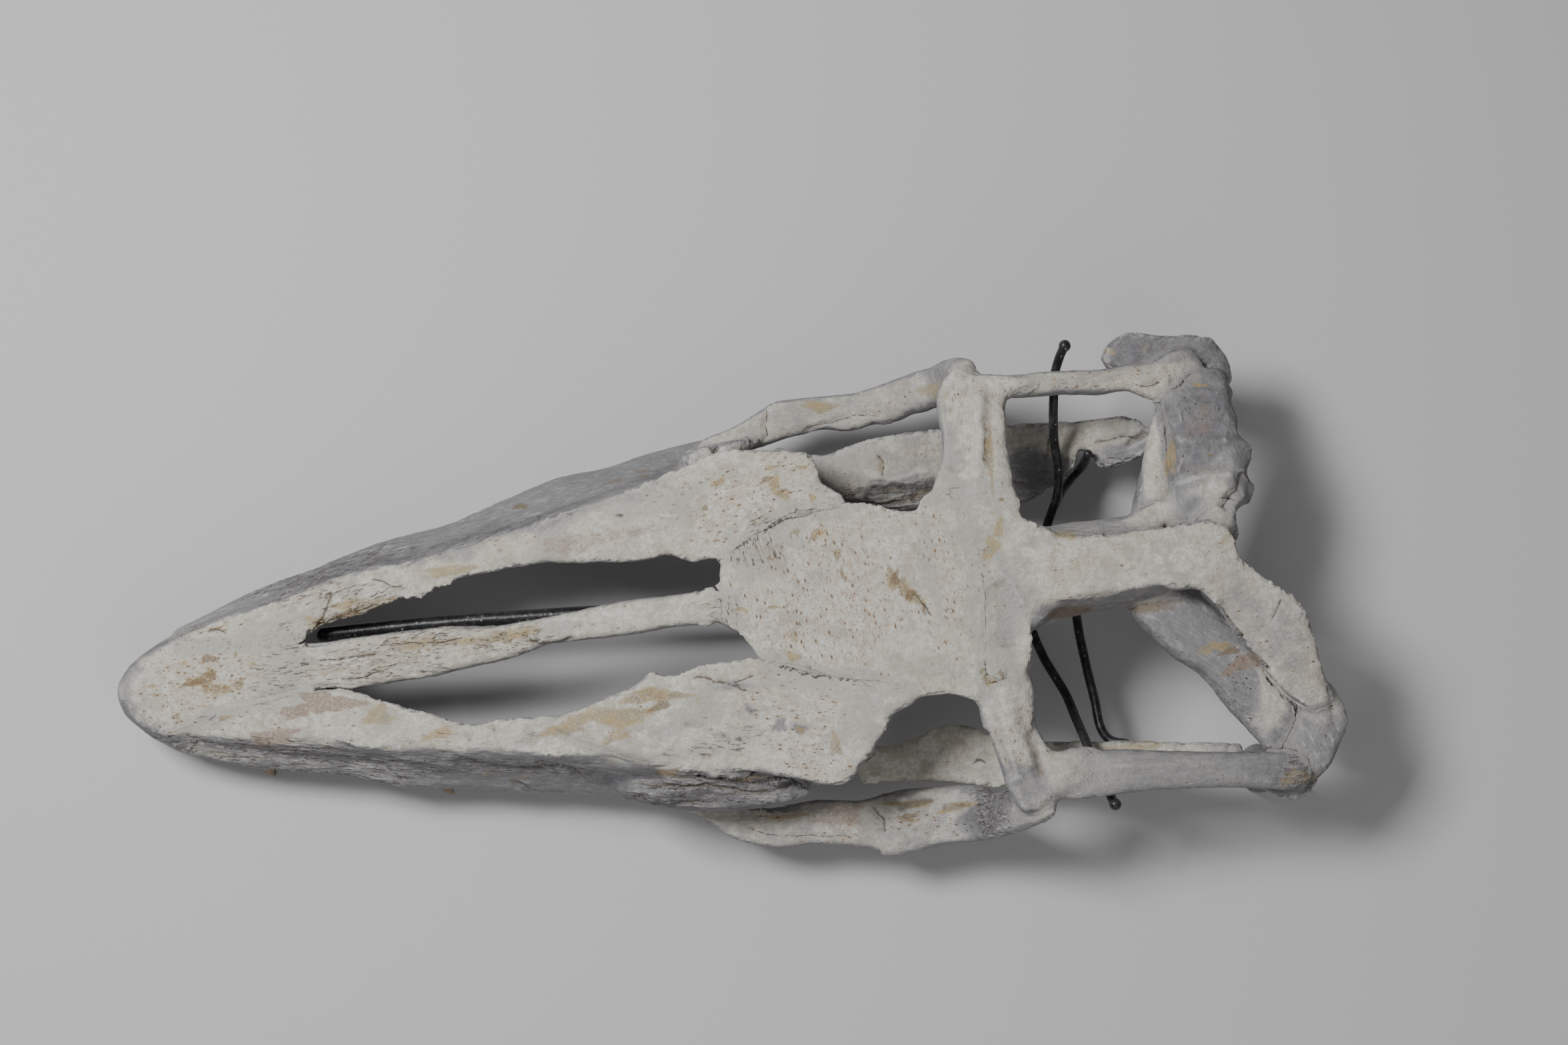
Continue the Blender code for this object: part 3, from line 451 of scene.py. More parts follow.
# Routes and centres of what is carved and painted, front to back.
CRACKS = (
    # Snout and the bar between the nostrils.
    Crack(((29, 19, 58), (18, 7, 59), (10, -3, 56), (10, -13, 53), (17, -21, 54)), 0.0, 2.2, -0.9,
          0.5, 9.0),
    Crack(((55, 26, 60), (59, 29, 60), (65, 27, 62), (67, 24, 63)), 0.3, 1.6, 0.8),
    Crack(((112, -12, 70), (118, -12, 70), (126, -12, 70)), 0.7, 1.8, 2.0, 0.4, 9.0),
    Crack(((27, -26, 55), (33, -27, 57)), 0.45, 1.5, 0.8),
    Crack(((115, 4, 72), (124, 3, 73), (136, 3, 75), (150, 3, 77)), 0.55, 1.3, 0.9),
    Crack(((118, -7, 71), (138, -9, 74), (153, -6, 78)), 0.35, 1.3, 0.7),
    Crack(((147, 7, 76), (162, 7, 79), (184, 5, 84), (199, 6, 86)), 0.3, 1.4, 0.7),
    Crack(((228, 4, 90), (234, -1, 91), (238, -3, 90), (248, -5, 90), (258, -2, 95)), 0.5, 2.0, 1.6),
    Crack(((262, 7, 97), (261, 3, 97), (260, 0, 96)), 0.25, 1.4, 0.5),
    Crack(((127, 39, 73), (125, 34, 73), (123, 28, 73), (117, 22, 73)), 0.7, 2.0, 1.8, 0.9),
    Crack(((125, 22, 74), (138, 27, 77), (153, 30, 79)), 0.4, 1.6, 1.0, 0.9),
    Crack(((111, 18, 72), (116, 18, 72), (123, 18, 72)), 1.2, 2.4, 4.0, 0.3, 14.0),
    # Table between the eye sockets.
    Crack(((343, 26, 114), (356, 39, 117), (365, 43, 118), (383, 45, 119), (399, 45, 120),
           (393, 50, 119), (393, 59, 117)), 0.0, 3.2, 1.1, 0.9),
    Crack(((340, 34, 113), (356, 46, 117), (372, 51, 118), (392, 52, 119)), 0.0, 6.5, 1.3),
    Crack(((357, -27, 115), (374, -33, 117), (391, -40, 119), (408, -44, 117), (424, -44, 122),
           (436, -44, 122)), 0.05, 2.6, 1.0, 1.0),
    Crack(((350, -33, 114), (376, -42, 117), (400, -50, 118)), 0.0, 6.0, 1.1),
    Crack(((437, -2, 122), (441, -6, 122), (446, -15, 123)), 0.4, 1.8, 0.8, 0.9),
    Crack(((474, 8, 124), (473, -9, 124), (470, -27, 124)), 0.0, 1.5, -0.6, 0.9),
    Crack(((480, 0, 124), (485, -12, 124), (486, -27, 124), (483, -39, 123)), 0.0, 7.0, 2.2),
    Crack(((480, 9, 124), (485, 3, 124), (491, -6, 124), (495, -16, 124)), 0.0, 1.8, -0.9, 0.7),
    Crack(((468, -40, 123), (470, -48, 122), (477, -52, 122), (484, -47, 122)), 0.12, 1.8, 0.9, 0.9),
    Crack(((365, 37, 118), (383, 42, 119), (404, 42, 120), (424, 35, 120), (441, 30, 122),
           (447, 19, 122), (447, 4, 122)), 0.0, 2.6, 0.5, 1.2),
    Crack(((318, -31, 107), (330, -35, 110), (338, -37, 111), (346, -43, 112)), 0.5, 1.6, 1.1, 0.9),
    Crack(((338, -37, 111), (345, -36, 112), (350, -34, 113)), 0.35, 1.2, 0.7, 0.8),
    # Left jaw, its spur and its flank.
    Crack(((308, -54, 105), (320, -58, 106), (326, -64, 106), (335, -67, 107)), 0.0, 2.2, 1.2, 0.8),
    Crack(((276, -82, 66), (296, -86, 90), (318, -89, 92), (335, -93, 89), (352, -95, 87),
           (366, -93, 80)), 0.55, 1.5, 1.5, 0.9, 16.0),
    Crack(((296, -80, 92), (314, -83, 94), (332, -86, 93), (350, -90, 89)), 0.35, 1.3, 0.8, 0.9, 14.0),
    Crack(((276, -88, 62), (295, -93, 78), (313, -96, 83), (331, -97, 84)), 0.4, 1.5, 0.9, 0.9, 14.0),
    Crack(((344, -84, 92), (354, -87, 90), (362, -91, 85)), 0.45, 1.4, 1.0, 0.9, 14.0),
    Crack(((171, -51, 82), (185, -55, 81), (197, -62, 68), (218, -66, 67), (251, -70, 77)),
          0.4, 3.2, 1.6, 0.9),
    Crack(((212, -72, 51), (221, -79, 39), (239, -82, 38)), 0.45, 2.6, 1.4, 0.9),
    Crack(((227, -63, 81), (244, -69, 76), (252, -77, 58)), 0.4, 3.0, 1.6, 0.9),
    Crack(((60, -33, 52), (90, -42, 50), (120, -48, 52), (150, -54, 52)), 0.0, 4.5, 1.3, 0.8, 9.0),
    Crack(((80, -38, 42), (120, -52, 40), (160, -62, 42), (196, -70, 44)), 0.0, 4.0, -1.2, 0.8, 9.0),
    Crack(((150, -50, 72), (172, -56, 66), (205, -66, 56)), 0.0, 4.0, -1.3, 0.8, 9.0),
    # Right jaw's flank.
    Crack(((70, 30, 58), (100, 38, 62), (130, 46, 62), (160, 56, 62)), 0.0, 5.0, 1.5, 0.8, 9.0),
    Crack(((150, 58, 50), (190, 68, 52), (230, 78, 54)), 0.0, 5.0, -1.5, 0.8, 9.0),
    Crack(((200, 60, 74), (235, 68, 78), (270, 78, 80), (300, 84, 82)), 0.0, 5.0, 1.5, 0.8, 9.0),
    Crack(((150, 43, 76), (158, 40, 78), (168, 37, 81)), 0.3, 2.2, 1.0, 0.8),
    # Cheeks.
    Crack(((373, 115, 53), (371, 104, 56), (372, 97, 54)), 0.3, 2.2, 1.4, 0.9),
    Crack(((389, 97, 56), (404, 101, 57), (418, 104, 57), (437, 104, 56)), 0.25, 2.2, 1.1, 0.9),
    Crack(((404, -107, 51), (409, -115, 52), (409, -124, 52)), 0.35, 2.0, 1.3, 0.9),
    Crack(((417, -111, 53), (428, -109, 55), (438, -109, 56)), 0.0, 2.4, 2.0, 0.5),
    Crack(((420, -116, 54), (428, -117, 54)), 0.0, 2.0, 1.2, 0.5),
    Crack(((440, -114, 58), (450, -115, 62), (457, -114, 68)), 0.0, 2.4, 1.9, 0.5),
    Crack(((332, -111, 47), (346, -117, 47), (363, -120, 48), (396, -124, 50)), 0.2, 2.2, 0.9, 0.8),
    # Struts behind the eye sockets.
    Crack(((496, 100, 110), (494, 81, 114), (490, 64, 118), (489, 45, 122)), 0.0, 4.0, -0.8),
    Crack(((471, 104, 112), (470, 86, 115), (469, 70, 117), (464, 58, 119)), 0.0, 6.0, 1.4, 0.7, 9.0),
    Crack(((487, 106, 111), (484, 88, 116), (481, 68, 120), (476, 50, 122)), 0.0, 3.2, -1.7, 0.8, 9.0),
    Crack(((467, -62, 120), (474, -79, 118), (479, -94, 114), (481, -108, 110)), 0.0, 3.0, -1.4),
    Crack(((472, -68, 119), (477, -80, 117), (483, -94, 114), (484, -108, 110)), 0.0, 1.8, 0.6, 0.7),
    Crack(((495, -72, 117), (495, -88, 113), (492, -108, 109)), 0.0, 2.0, 0.7, 0.7),
    Crack(((468, -74, 112), (474, -90, 110), (477, -104, 109)), 0.0, 3.5, 1.8, 0.6, 9.0),
    Crack(((490, -78, 116), (494, -95, 112), (495, -109, 109)), 0.0, 3.2, 1.6),
    # Roof between the temporal openings, and its long arm.
    Crack(((508, 24, 120), (521, 19, 121), (538, 16, 125), (556, 18, 120), (579, 18, 109)),
          0.15, 3.0, 1.0, 0.8),
    Crack(((517, -10, 125), (534, -12, 126), (552, -12, 127), (570, -10, 126), (584, -5, 126)),
          0.0, 3.0, -0.8),
    Crack(((619, 43, 111), (614, 35, 116), (607, 28, 116), (603, 23, 120)), 0.5, 2.6, 2.2, 0.9),
    Crack(((628, -27, 120), (624, -34, 119), (621, -38, 119)), 0.35, 1.4, 0.8, 0.8),
    Crack(((617, -66, 106), (624, -72, 106), (631, -78, 108), (645, -83, 105)), 0.0, 2.2, 0.7, 0.9),
    Crack(((644, -65, 111), (648, -75, 108), (651, -85, 100), (651, -99, 99)), 0.0, 2.6, 1.0, 0.8, 9.0),
    Crack(((594, -22, 121), (603, -37, 119), (611, -47, 117), (617, -58, 114), (620, -66, 110)), 0.0,
          3.6, 2.0, 0.9, 9.0),
    Crack(((524, -103, 107), (549, -105, 107), (573, -107, 107), (601, -110, 106)), 0.0, 2.6, -0.9,
          0.7),
    # Rear corners and the cross piece.
    Crack(((583, 98, 104), (577, 96, 105), (570, 96, 105)), 0.3, 1.6, 1.0, 0.9),
    Crack(((582, 73, 105), (584, 63, 110), (583, 50, 112), (582, 41, 114)), 0.0, 2.6, 1.8, 0.8, 9.0),
    Crack(((582, 39, 114), (595, 42, 117), (613, 42, 116)), 0.0, 2.6, -1.3, 0.9),
    Crack(((589, 96, 108), (600, 94, 109), (612, 92, 106)), 0.0, 3.6, 1.5, 1.0),
    Crack(((589, 76, 111), (600, 76, 112), (614, 73, 111)), 0.0, 3.2, 1.6, 1.0),
    Crack(((586, 62, 112), (600, 61, 114), (614, 60, 113)), 0.0, 3.2, -1.5, 1.0),
    Crack(((584, 49, 114), (596, 46, 116), (613, 46, 115)), 0.0, 3.0, 1.5, 1.0),
    Crack(((343, 97, 79), (343, 93, 79), (343, 88, 81)), 1.8, 2.8, 3.4, 0.2),
    # Palate.
    Crack(((411, 65, 49), (433, 67, 49), (460, 71, 48)), 0.0, 2.0, -1.2),
    Crack(((412, 54, 47), (428, 53, 46), (446, 56, 46), (466, 62, 46)), 1.1, 2.2, 2.2, 1.0, 9.0),
    Crack(((432, 70, 50), (433, 76, 51), (431, 82, 51)), 0.35, 1.4, 0.8, 0.8),
    Crack(((521, 68, 47), (524, 76, 50), (528, 84, 51)), 0.5, 2.0, 1.4, 0.9),
    Crack(((586, 79, 58), (579, 77, 57), (572, 74, 55), (565, 71, 54)), 0.0, 1.6, 4.0, 0.3, 14.0),
    Crack(((548, 74, 51), (563, 76, 53), (577, 74, 56)), 0.3, 1.8, 1.0, 0.9),
    Crack(((554, 64, 52), (562, 64, 53), (569, 64, 54)), 0.3, 1.6, 0.9, 0.9),
    Crack(((462, -91, 48), (467, -90, 48), (469, -92, 49)), 0.5, 1.4, 0.9, 0.8),
)

MARKS = (
    # Snout.
    Mark(Stain.PORES, (52, 0, 64), 50, 30), Mark(Stain.OCHRE, (45, 0, 63), 4.5, 1.7, 2.0),
    Mark(Stain.OCHRE, (50, 0, 64), 5, 2.2, 2.0), Mark(Stain.OCHRE, (54, 2, 64), 3.2, 2.8, 2.0),
    Mark(Stain.OCHRE, (57, 4, 65), 2.2, 2.2, 2.0), Mark(Stain.OCHRE, (53, -3, 64), 2.6, 2.6, 1.7),
    Mark(Stain.OCHRE, (58, -5, 65), 4.6, 1.9, 1.6), Mark(Stain.OCHRE, (64, -6, 66), 4.6, 1.8, 1.6),
    Mark(Stain.OCHRE, (71, -4, 67), 4.2, 2, 1.6), Mark(Stain.OCHRE, (58, -8, 65), 5, 2, 0.5),
    Mark(Stain.BROWN, (48, 0, 64), 6, 2, 1.1), Mark(Stain.BROWN, (56, 3, 65), 3.4, 2.4, 0.9),
    Mark(Stain.BROWN, (56, 12, 64), 4.4, 2.2, 1.4), Mark(Stain.OCHRE, (24, 1, 61), 3.4, 1.4, 0.7),
    Mark(Stain.OCHRE, (24, -4, 61), 2.6, 1.2, 0.7), Mark(Stain.OCHRE, (35, -17, 61), 2.2, 2, 0.8),
    Mark(Stain.OCHRE, (61, -21, 64), 3.4, 2.2, 0.8), Mark(Stain.BROWN, (49, -19, 62), 3, 1, 0.6),
    Mark(Stain.OCHRE, (80, 6, 68), 2, 1.6, 0.7), Mark(Stain.OCHRE, (71, 12, 66), 1.6, 1.6, 0.8),
    Mark(Stain.OCHRE, (42, 11, 62), 1.6, 3, 0.6), Mark(Stain.BROWN, (17, -12, 55), 1.4, 1.2, 0.8),
    Mark(Stain.BROWN, (60, 28, 60), 5, 1.6, 0.7), Mark(Stain.FILLER, (96, -6, 71), 20, 18, 0.9),
    Mark(Stain.FILLER, (92, 22, 68), 20, 12, 0.8), Mark(Stain.ROUGH, (98, 6, 71), 20, 30, 0.45),
    Mark(Stain.PINK, (119, -20, 72), 13, 6, 1.6), Mark(Stain.PINK, (104, -22, 70), 13, 4, 1.2),
    Mark(Stain.PINK, (90, -34, 64), 26, 5, 0.6), Mark(Stain.GREY_AND_PAINTED_SHADE, (18, -20, 50), 16, 12, 0.5),
    Mark(Stain.GREY_AND_PAINTED_SHADE, (8, -6, 53), 7, 15, 0.7), Mark(Stain.GREY_AND_PAINTED_SHADE, (12, 12, 56), 6, 8, 0.6),
    Mark(Stain.GREY_AND_PAINTED_SHADE, (23, 22, 56), 9, 5, 0.6), Mark(Stain.OCHRE, (146, -31, 77), 14, 5, 0.6),
    # Bar between the nostrils.
    Mark(Stain.ROUGH, (160, 2, 80), 56, 14), Mark(Stain.ROUGH, (225, 1, 90), 24, 10, 0.8),
    Mark(Stain.OCHRE, (177, 5, 82), 26, 3, 0.55), Mark(Stain.OCHRE, (206, 3, 87), 22, 4, 0.6),
    Mark(Stain.OCHRE, (224, 4, 90), 12, 5, 0.7), Mark(Stain.OCHRE, (124, -4, 72), 7, 3, 0.5),
    Mark(Stain.FILLER, (250, 3, 95), 9, 7), Mark(Stain.BROWN, (130, 25, 75), 14, 3.5, 0.8),
    Mark(Stain.OCHRE, (146, 29, 78), 24, 4.5, 0.95), Mark(Stain.ROUGH, (135, 27, 76), 26, 9),
    Mark(Stain.OCHRE, (120, 22, 73), 8, 5, 0.9),
    # Right jaw and the plate behind it.
    # The grey marks along this flank are its grey-lilac colour and painted shade on the steep side.
    Mark(Stain.GREY_AND_PAINTED_SHADE, (117, 52, 57), 22, 8, 0.55), Mark(Stain.GREY_AND_PAINTED_SHADE, (146, 57, 65), 22, 11, 0.6),
    Mark(Stain.GREY_AND_PAINTED_SHADE, (176, 56, 80), 22, 11, 0.6), Mark(Stain.GREY_AND_PAINTED_SHADE, (204, 59, 86), 22, 11, 0.65),
    Mark(Stain.GREY_AND_PAINTED_SHADE, (232, 62, 91), 22, 10, 0.65), Mark(Stain.GREY_AND_PAINTED_SHADE, (260, 67, 95), 20, 10, 0.65),
    Mark(Stain.GREY_AND_PAINTED_SHADE, (287, 69, 100), 18, 9, 0.6), Mark(Stain.GREY_AND_PAINTED_SHADE, (308, 73, 103), 14, 8, 0.5),
    Mark(Stain.BROWN, (301, 86, 65), 6, 2, 0.5), Mark(Stain.SLATE_AND_PAINTED_SHADE, (288, 59, 104), 2.4, 1.2, 0.8),
    Mark(Stain.OCHRE, (280, 65, 102), 12, 4, 0.35), Mark(Stain.PINK, (268, 48, 100), 36, 10, 0.45),
    Mark(Stain.OCHRE, (196, 42, 86), 26, 3, 0.6), Mark(Stain.BROWN, (232, 76, 56), 5, 3, 0.7),
    Mark(Stain.ROUGH, (230, 62, 84), 90, 14, 0.5), Mark(Stain.PORES, (350, 60, 110), 44, 26),
    Mark(Stain.OCHRE, (343, 70, 110), 4, 2.2, 0.9), Mark(Stain.BROWN, (368, 68, 115), 3, 2, 0.9),
    Mark(Stain.OCHRE, (372, 65, 116), 4, 4, 0.9), Mark(Stain.OCHRE, (376, 59, 117), 3.4, 4, 0.95),
    Mark(Stain.OCHRE, (373, 74, 114), 5, 1, 0.9), Mark(Stain.BROWN, (334, 57, 109), 2.6, 1.4, 0.8),
    Mark(Stain.OCHRE, (346, 59, 112), 9, 4, 0.35), Mark(Stain.BROWN, (338, 39, 112), 2.6, 1.2, 0.7),
    Mark(Stain.OCHRE, (388, 72, 115), 3, 1.6, 0.8), Mark(Stain.OCHRE, (391, 55, 118), 2.6, 2, 0.8),
    Mark(Stain.OCHRE, (359, 46, 116), 2, 1, 0.7), Mark(Stain.FILLER, (300, 62, 104), 20, 10, 0.8),
    Mark(Stain.FILLER, (324, 66, 107), 10, 8, 0.7), Mark(Stain.BROWN, (318, 85, 72), 3, 2, 0.5),
    Mark(Stain.BROWN, (302, 82, 78), 5, 2, 0.5), Mark(Stain.BROWN, (286, 82, 67), 6, 2, 0.5),
    Mark(Stain.GREY_AND_PAINTED_SHADE, (310, 82, 88), 40, 10, 0.4), Mark(Stain.FILLER, (400, 62, 117), 14, 12, 0.6),
    # Left jaw, its spur and the plate behind it.
    Mark(Stain.OCHRE, (294, -38, 106), 13, 5, 1.0), Mark(Stain.BROWN, (299, -44, 105), 5, 3, 1.0),
    Mark(Stain.OCHRE, (274, -57, 101), 8, 4, 0.6), Mark(Stain.OCHRE, (276, -47, 102), 22, 7, 0.7),
    Mark(Stain.OCHRE, (248, -49, 97), 16, 5, 0.7), Mark(Stain.OCHRE, (179, -44, 84), 10, 4, 0.6),
    Mark(Stain.ROUGH, (200, -50, 86), 110, 12, 0.3), Mark(Stain.ROUGH, (478, 80, 116), 16, 30, 0.3),
    Mark(Stain.FILLER, (152, -34, 79), 12, 5, 0.8), Mark(Stain.OCHRE, (202, -67, 58), 10, 3, 0.4),
    Mark(Stain.OCHRE, (216, -71, 56), 12, 3, 0.4), Mark(Stain.ROUGH, (318, -88, 88), 48, 20, 0.8),
    # The grey marks on the spur and on the flank in front of it are partly painted shade, darkening
    # faces that catch the light.
    Mark(Stain.BROWN, (300, -79, 94), 7, 4, 0.7), Mark(Stain.GREY_AND_PAINTED_SHADE, (318, -90, 88), 62, 22, 1.3),
    Mark(Stain.BROWN, (330, -93, 88), 26, 5, 0.35), Mark(Stain.ROUGH, (200, -62, 68), 110, 18, 0.6),
    Mark(Stain.ROUGH, (120, -48, 62), 90, 16, 0.9), Mark(Stain.ROUGH, (120, -52, 46), 90, 16, 0.9),
    Mark(Stain.ROUGH, (120, 46, 62), 80, 16, 0.9), Mark(Stain.ROUGH, (130, 56, 48), 80, 16, 0.9),
    Mark(Stain.BROWN, (344, -87, 90), 7, 4, 0.6), Mark(Stain.ROUGH, (330, -68, 106), 26, 8, 0.5),
    Mark(Stain.GREY_AND_PAINTED_SHADE, (272, -85, 66), 34, 16, 1.0), Mark(Stain.FILLER, (330, -68, 106), 26, 8, 0.5),
    Mark(Stain.GREY_AND_PAINTED_SHADE, (302, -93, 72), 46, 16, 1.1), Mark(Stain.GREY_AND_PAINTED_SHADE, (338, -97, 78), 30, 12, 1.0),
    Mark(Stain.GREY_AND_PAINTED_SHADE, (360, -62, 112), 4.6, 2.8, 1.4), Mark(Stain.FILLER, (360, -62, 112), 5, 3),
    Mark(Stain.GREY_AND_PAINTED_SHADE, (370, -65, 115), 3, 3, 1.4), Mark(Stain.OCHRE, (371, -66, 115), 3, 3, 0.6),
    Mark(Stain.GREY_AND_PAINTED_SHADE, (346, -52, 111), 3, 2, 1.0), Mark(Stain.GREY_AND_PAINTED_SHADE, (338, -38, 111), 8, 3, 0.9),
    Mark(Stain.FILLER, (338, -38, 111), 9, 4), Mark(Stain.FILLER, (318, -50, 106), 16, 12, 0.75),
    Mark(Stain.FILLER, (404, -58, 116), 20, 14, 0.8), Mark(Stain.PORES, (372, -66, 114), 36, 26),
    Mark(Stain.OCHRE, (388, -75, 116), 3, 9, 0.6), Mark(Stain.OCHRE, (322, -46, 108), 14, 5, 0.35),
    # Table between the eye sockets.
    Mark(Stain.PORES, (385, 6, 120), 56, 44), Mark(Stain.PORES, (458, 10, 123), 18, 40, 0.7),
    Mark(Stain.OCHRE, (428, 6, 121), 4.4, 5, 1.1), Mark(Stain.OCHRE, (434, 0, 121), 5, 4.4, 1.1),
    Mark(Stain.OCHRE, (439, -5, 122), 4, 3.4), Mark(Stain.BROWN, (429, 7, 121), 3, 3, 1.2),
    Mark(Stain.BROWN, (436, -2, 122), 3, 2.4, 1.2), Mark(Stain.BROWN, (442, -10, 122), 1.4, 3, 0.7),
    Mark(Stain.OCHRE, (400, 23, 120), 2, 5, 0.7), Mark(Stain.BROWN, (402, 13, 120), 1.6, 5, 0.6),
    Mark(Stain.OCHRE, (392, 36, 119), 7, 3, 0.62), Mark(Stain.OCHRE, (380, 38, 119), 4, 2, 0.6),
    Mark(Stain.OCHRE, (346, 1, 115), 6, 1.6, 0.6), Mark(Stain.OCHRE, (364, 0, 117), 5, 1.4, 0.7),
    Mark(Stain.OCHRE, (372, -16, 118), 6, 3, 0.5), Mark(Stain.OCHRE, (371, -27, 118), 5, 3, 0.65),
    Mark(Stain.FILLER, (340, 0, 112), 9, 12), Mark(Stain.ROUGH, (338, 2, 112), 9, 12, 0.8),
    Mark(Stain.FILLER, (352, 24, 116), 9, 12), Mark(Stain.FILLER, (372, 40, 118), 20, 6),
    Mark(Stain.ROUGH, (360, 32, 117), 18, 12, 0.6), Mark(Stain.FILLER, (400, 46, 119), 18, 6),
    Mark(Stain.FILLER, (390, -42, 118), 36, 7, 0.9), Mark(Stain.FILLER, (478, -44, 122), 14, 12),
    Mark(Stain.OCHRE, (471, -52, 122), 4, 4, 0.6), Mark(Stain.FILLER, (486, -14, 124), 10, 26),
    Mark(Stain.GREY_AND_PAINTED_SHADE, (487, -14, 124), 11, 28, 0.45), Mark(Stain.FILLER, (447, 14, 122), 7, 22, 0.7),
    Mark(Stain.BROWN, (478, -49, 122), 2.4, 3, 0.6), Mark(Stain.OCHRE, (481, 18, 124), 5, 9, 0.6),
    Mark(Stain.OCHRE, (486, 26, 123), 4, 6, 0.6), Mark(Stain.OCHRE, (468, -46, 123), 2, 2, 0.7),
    Mark(Stain.FILLER, (452, 48, 121), 14, 8, 0.8),
    # Cheeks.
    Mark(Stain.OCHRE, (402, 111, 57), 10, 4, 0.7), Mark(Stain.OCHRE, (427, -110, 54), 12, 2.4),
    Mark(Stain.OCHRE, (450, -114, 62), 9, 2.8), Mark(Stain.OCHRE, (422, -117, 54), 6, 2),
    Mark(Stain.BROWN, (434, -109, 56), 8, 1.4, 0.6), Mark(Stain.BROWN, (452, -114, 64), 6, 1.4, 0.6),
    Mark(Stain.OCHRE, (357, -109, 48), 12, 2.4, 0.7), Mark(Stain.ROUGH, (466, -110, 78), 22, 16),
    Mark(Stain.GREY_AND_PAINTED_SHADE, (468, -114, 76), 18, 16, 1.5), Mark(Stain.PORES, (466, -110, 78), 22, 16, 1.2),
    Mark(Stain.PORES, (440, -122, 54), 44, 8), Mark(Stain.PORES, (380, -123, 48), 40, 6),
    Mark(Stain.FILLER, (406, -114, 52), 7, 10, 0.8), Mark(Stain.PINK, (385, -112, 50), 24, 7, 0.5),
    # Struts, roof and arm.
    Mark(Stain.OCHRE, (463, 110, 80), 10, 8, 0.5), Mark(Stain.OCHRE, (468, 104, 111), 6, 5, 0.4),
    Mark(Stain.GREY_AND_PAINTED_SHADE, (466, 74, 116), 7, 28, 0.5), Mark(Stain.FILLER, (462, 58, 118), 9, 20, 0.7),
    Mark(Stain.OCHRE, (486, 66, 119), 4, 14, 0.6), Mark(Stain.PINK, (486, 70, 118), 5, 14, 0.4),
    Mark(Stain.BROWN, (483, 64, 120), 1.4, 1.4, 0.8), Mark(Stain.BROWN, (489, 42, 122), 1.6, 1.6, 0.7),
    Mark(Stain.OCHRE, (526, 5, 125), 7, 7, 0.4), Mark(Stain.OCHRE, (512, 9, 122), 6, 10, 0.4),
    Mark(Stain.OCHRE, (521, 20, 121), 8, 5, 0.5), Mark(Stain.BROWN, (540, -22, 108), 46, 6, 0.6),
    Mark(Stain.PORES, (488, -80, 116), 14, 34, 0.6), Mark(Stain.PINK, (486, -88, 114), 8, 20, 0.25),
    # The grey mark on the arm is painted shade, darker where the light falls off towards the rear.
    Mark(Stain.GREY_AND_PAINTED_SHADE, (615, -46, 118), 22, 40, 0.35), Mark(Stain.OCHRE, (540, 2, 126), 6, 6, 0.35),
    Mark(Stain.GREY_AND_PAINTED_SHADE, (484, -104, 108), 16, 12, 0.5), Mark(Stain.GREY_AND_PAINTED_SHADE, (505, -21, 118), 12, 6, 0.7),
    # Rear corners, cross piece, hinge bones.
    Mark(Stain.FILLER, (560, -112, 104), 60, 16, 0.8), Mark(Stain.OCHRE, (577, 118, 90), 8, 5, 0.35),
    Mark(Stain.GREY_AND_PAINTED_SHADE, (577, 118, 90), 12, 8, 0.4),
    Mark(Stain.OCHRE, (559, 119, 88), 3, 3, 0.7), Mark(Stain.PORES, (545, 101, 107), 46, 7),
    Mark(Stain.OCHRE, (581, 52, 104), 3, 9, 0.75), Mark(Stain.OCHRE, (588, -48, 104), 5, 4, 0.6),
    Mark(Stain.OCHRE, (603, 93, 105), 4, 1.2, 0.9), Mark(Stain.BROWN, (602, 53, 116), 1.4, 1.2),
    Mark(Stain.PINK, (600, 70, 110), 14, 14, 0.4), Mark(Stain.PINK, (600, 96, 106), 10, 6, 0.35),
    Mark(Stain.PALE_AND_PAINTED_LIGHT, (573, 58, 102), 9, 34), Mark(Stain.PALE_AND_PAINTED_LIGHT, (576, 97, 105), 14, 9, 0.9),
    Mark(Stain.PALE_AND_PAINTED_LIGHT, (600, 40, 117), 16, 12, 0.7), Mark(Stain.OCHRE, (605, 7, 125), 8, 6, 0.4),
    Mark(Stain.SLATE_AND_PAINTED_SHADE, (628, -119, 101), 9, 6, 0.3), Mark(Stain.OCHRE, (627, -120, 100), 12, 8, 0.45),
    Mark(Stain.ROUGH, (628, -119, 100), 12, 9), Mark(Stain.OCHRE, (596, -47, 106), 5, 3, 0.9),
    Mark(Stain.BROWN, (601, -50, 105), 5, 3, 0.7), Mark(Stain.PINK, (607, -57, 104), 9, 5),
    Mark(Stain.PORES, (595, -74, 103), 16, 24, 1.2), Mark(Stain.PALE_AND_PAINTED_LIGHT, (618, -82, 103), 12, 16, 0.6),
    # Palate.
    # On the right pterygoid the slate mark on its lower face is painted shade, and the pink and filler
    # marks on its plate are partly painted shade; the pale marks lift parts of the palate that lie in
    # the skull's shadow, painted light.
    Mark(Stain.OCHRE, (550, -93, 66), 24, 6, 0.5), Mark(Stain.PINK, (438, 80, 52), 30, 8, 0.35),
    Mark(Stain.PALE_AND_PAINTED_LIGHT, (438, 80, 52), 50, 14, 0.2), Mark(Stain.FILLER, (420, 82, 52), 20, 10, 0.9),
    Mark(Stain.OCHRE, (431, 76, 51), 2, 7, 0.5), Mark(Stain.SLATE_AND_PAINTED_SHADE, (438, 50, 45), 42, 20, 1.3),
    Mark(Stain.GREY_AND_PAINTED_SHADE, (512, 62, 46), 26, 14, 0.5), Mark(Stain.GREY_AND_PAINTED_SHADE, (556, 66, 50), 26, 8, 0.6),
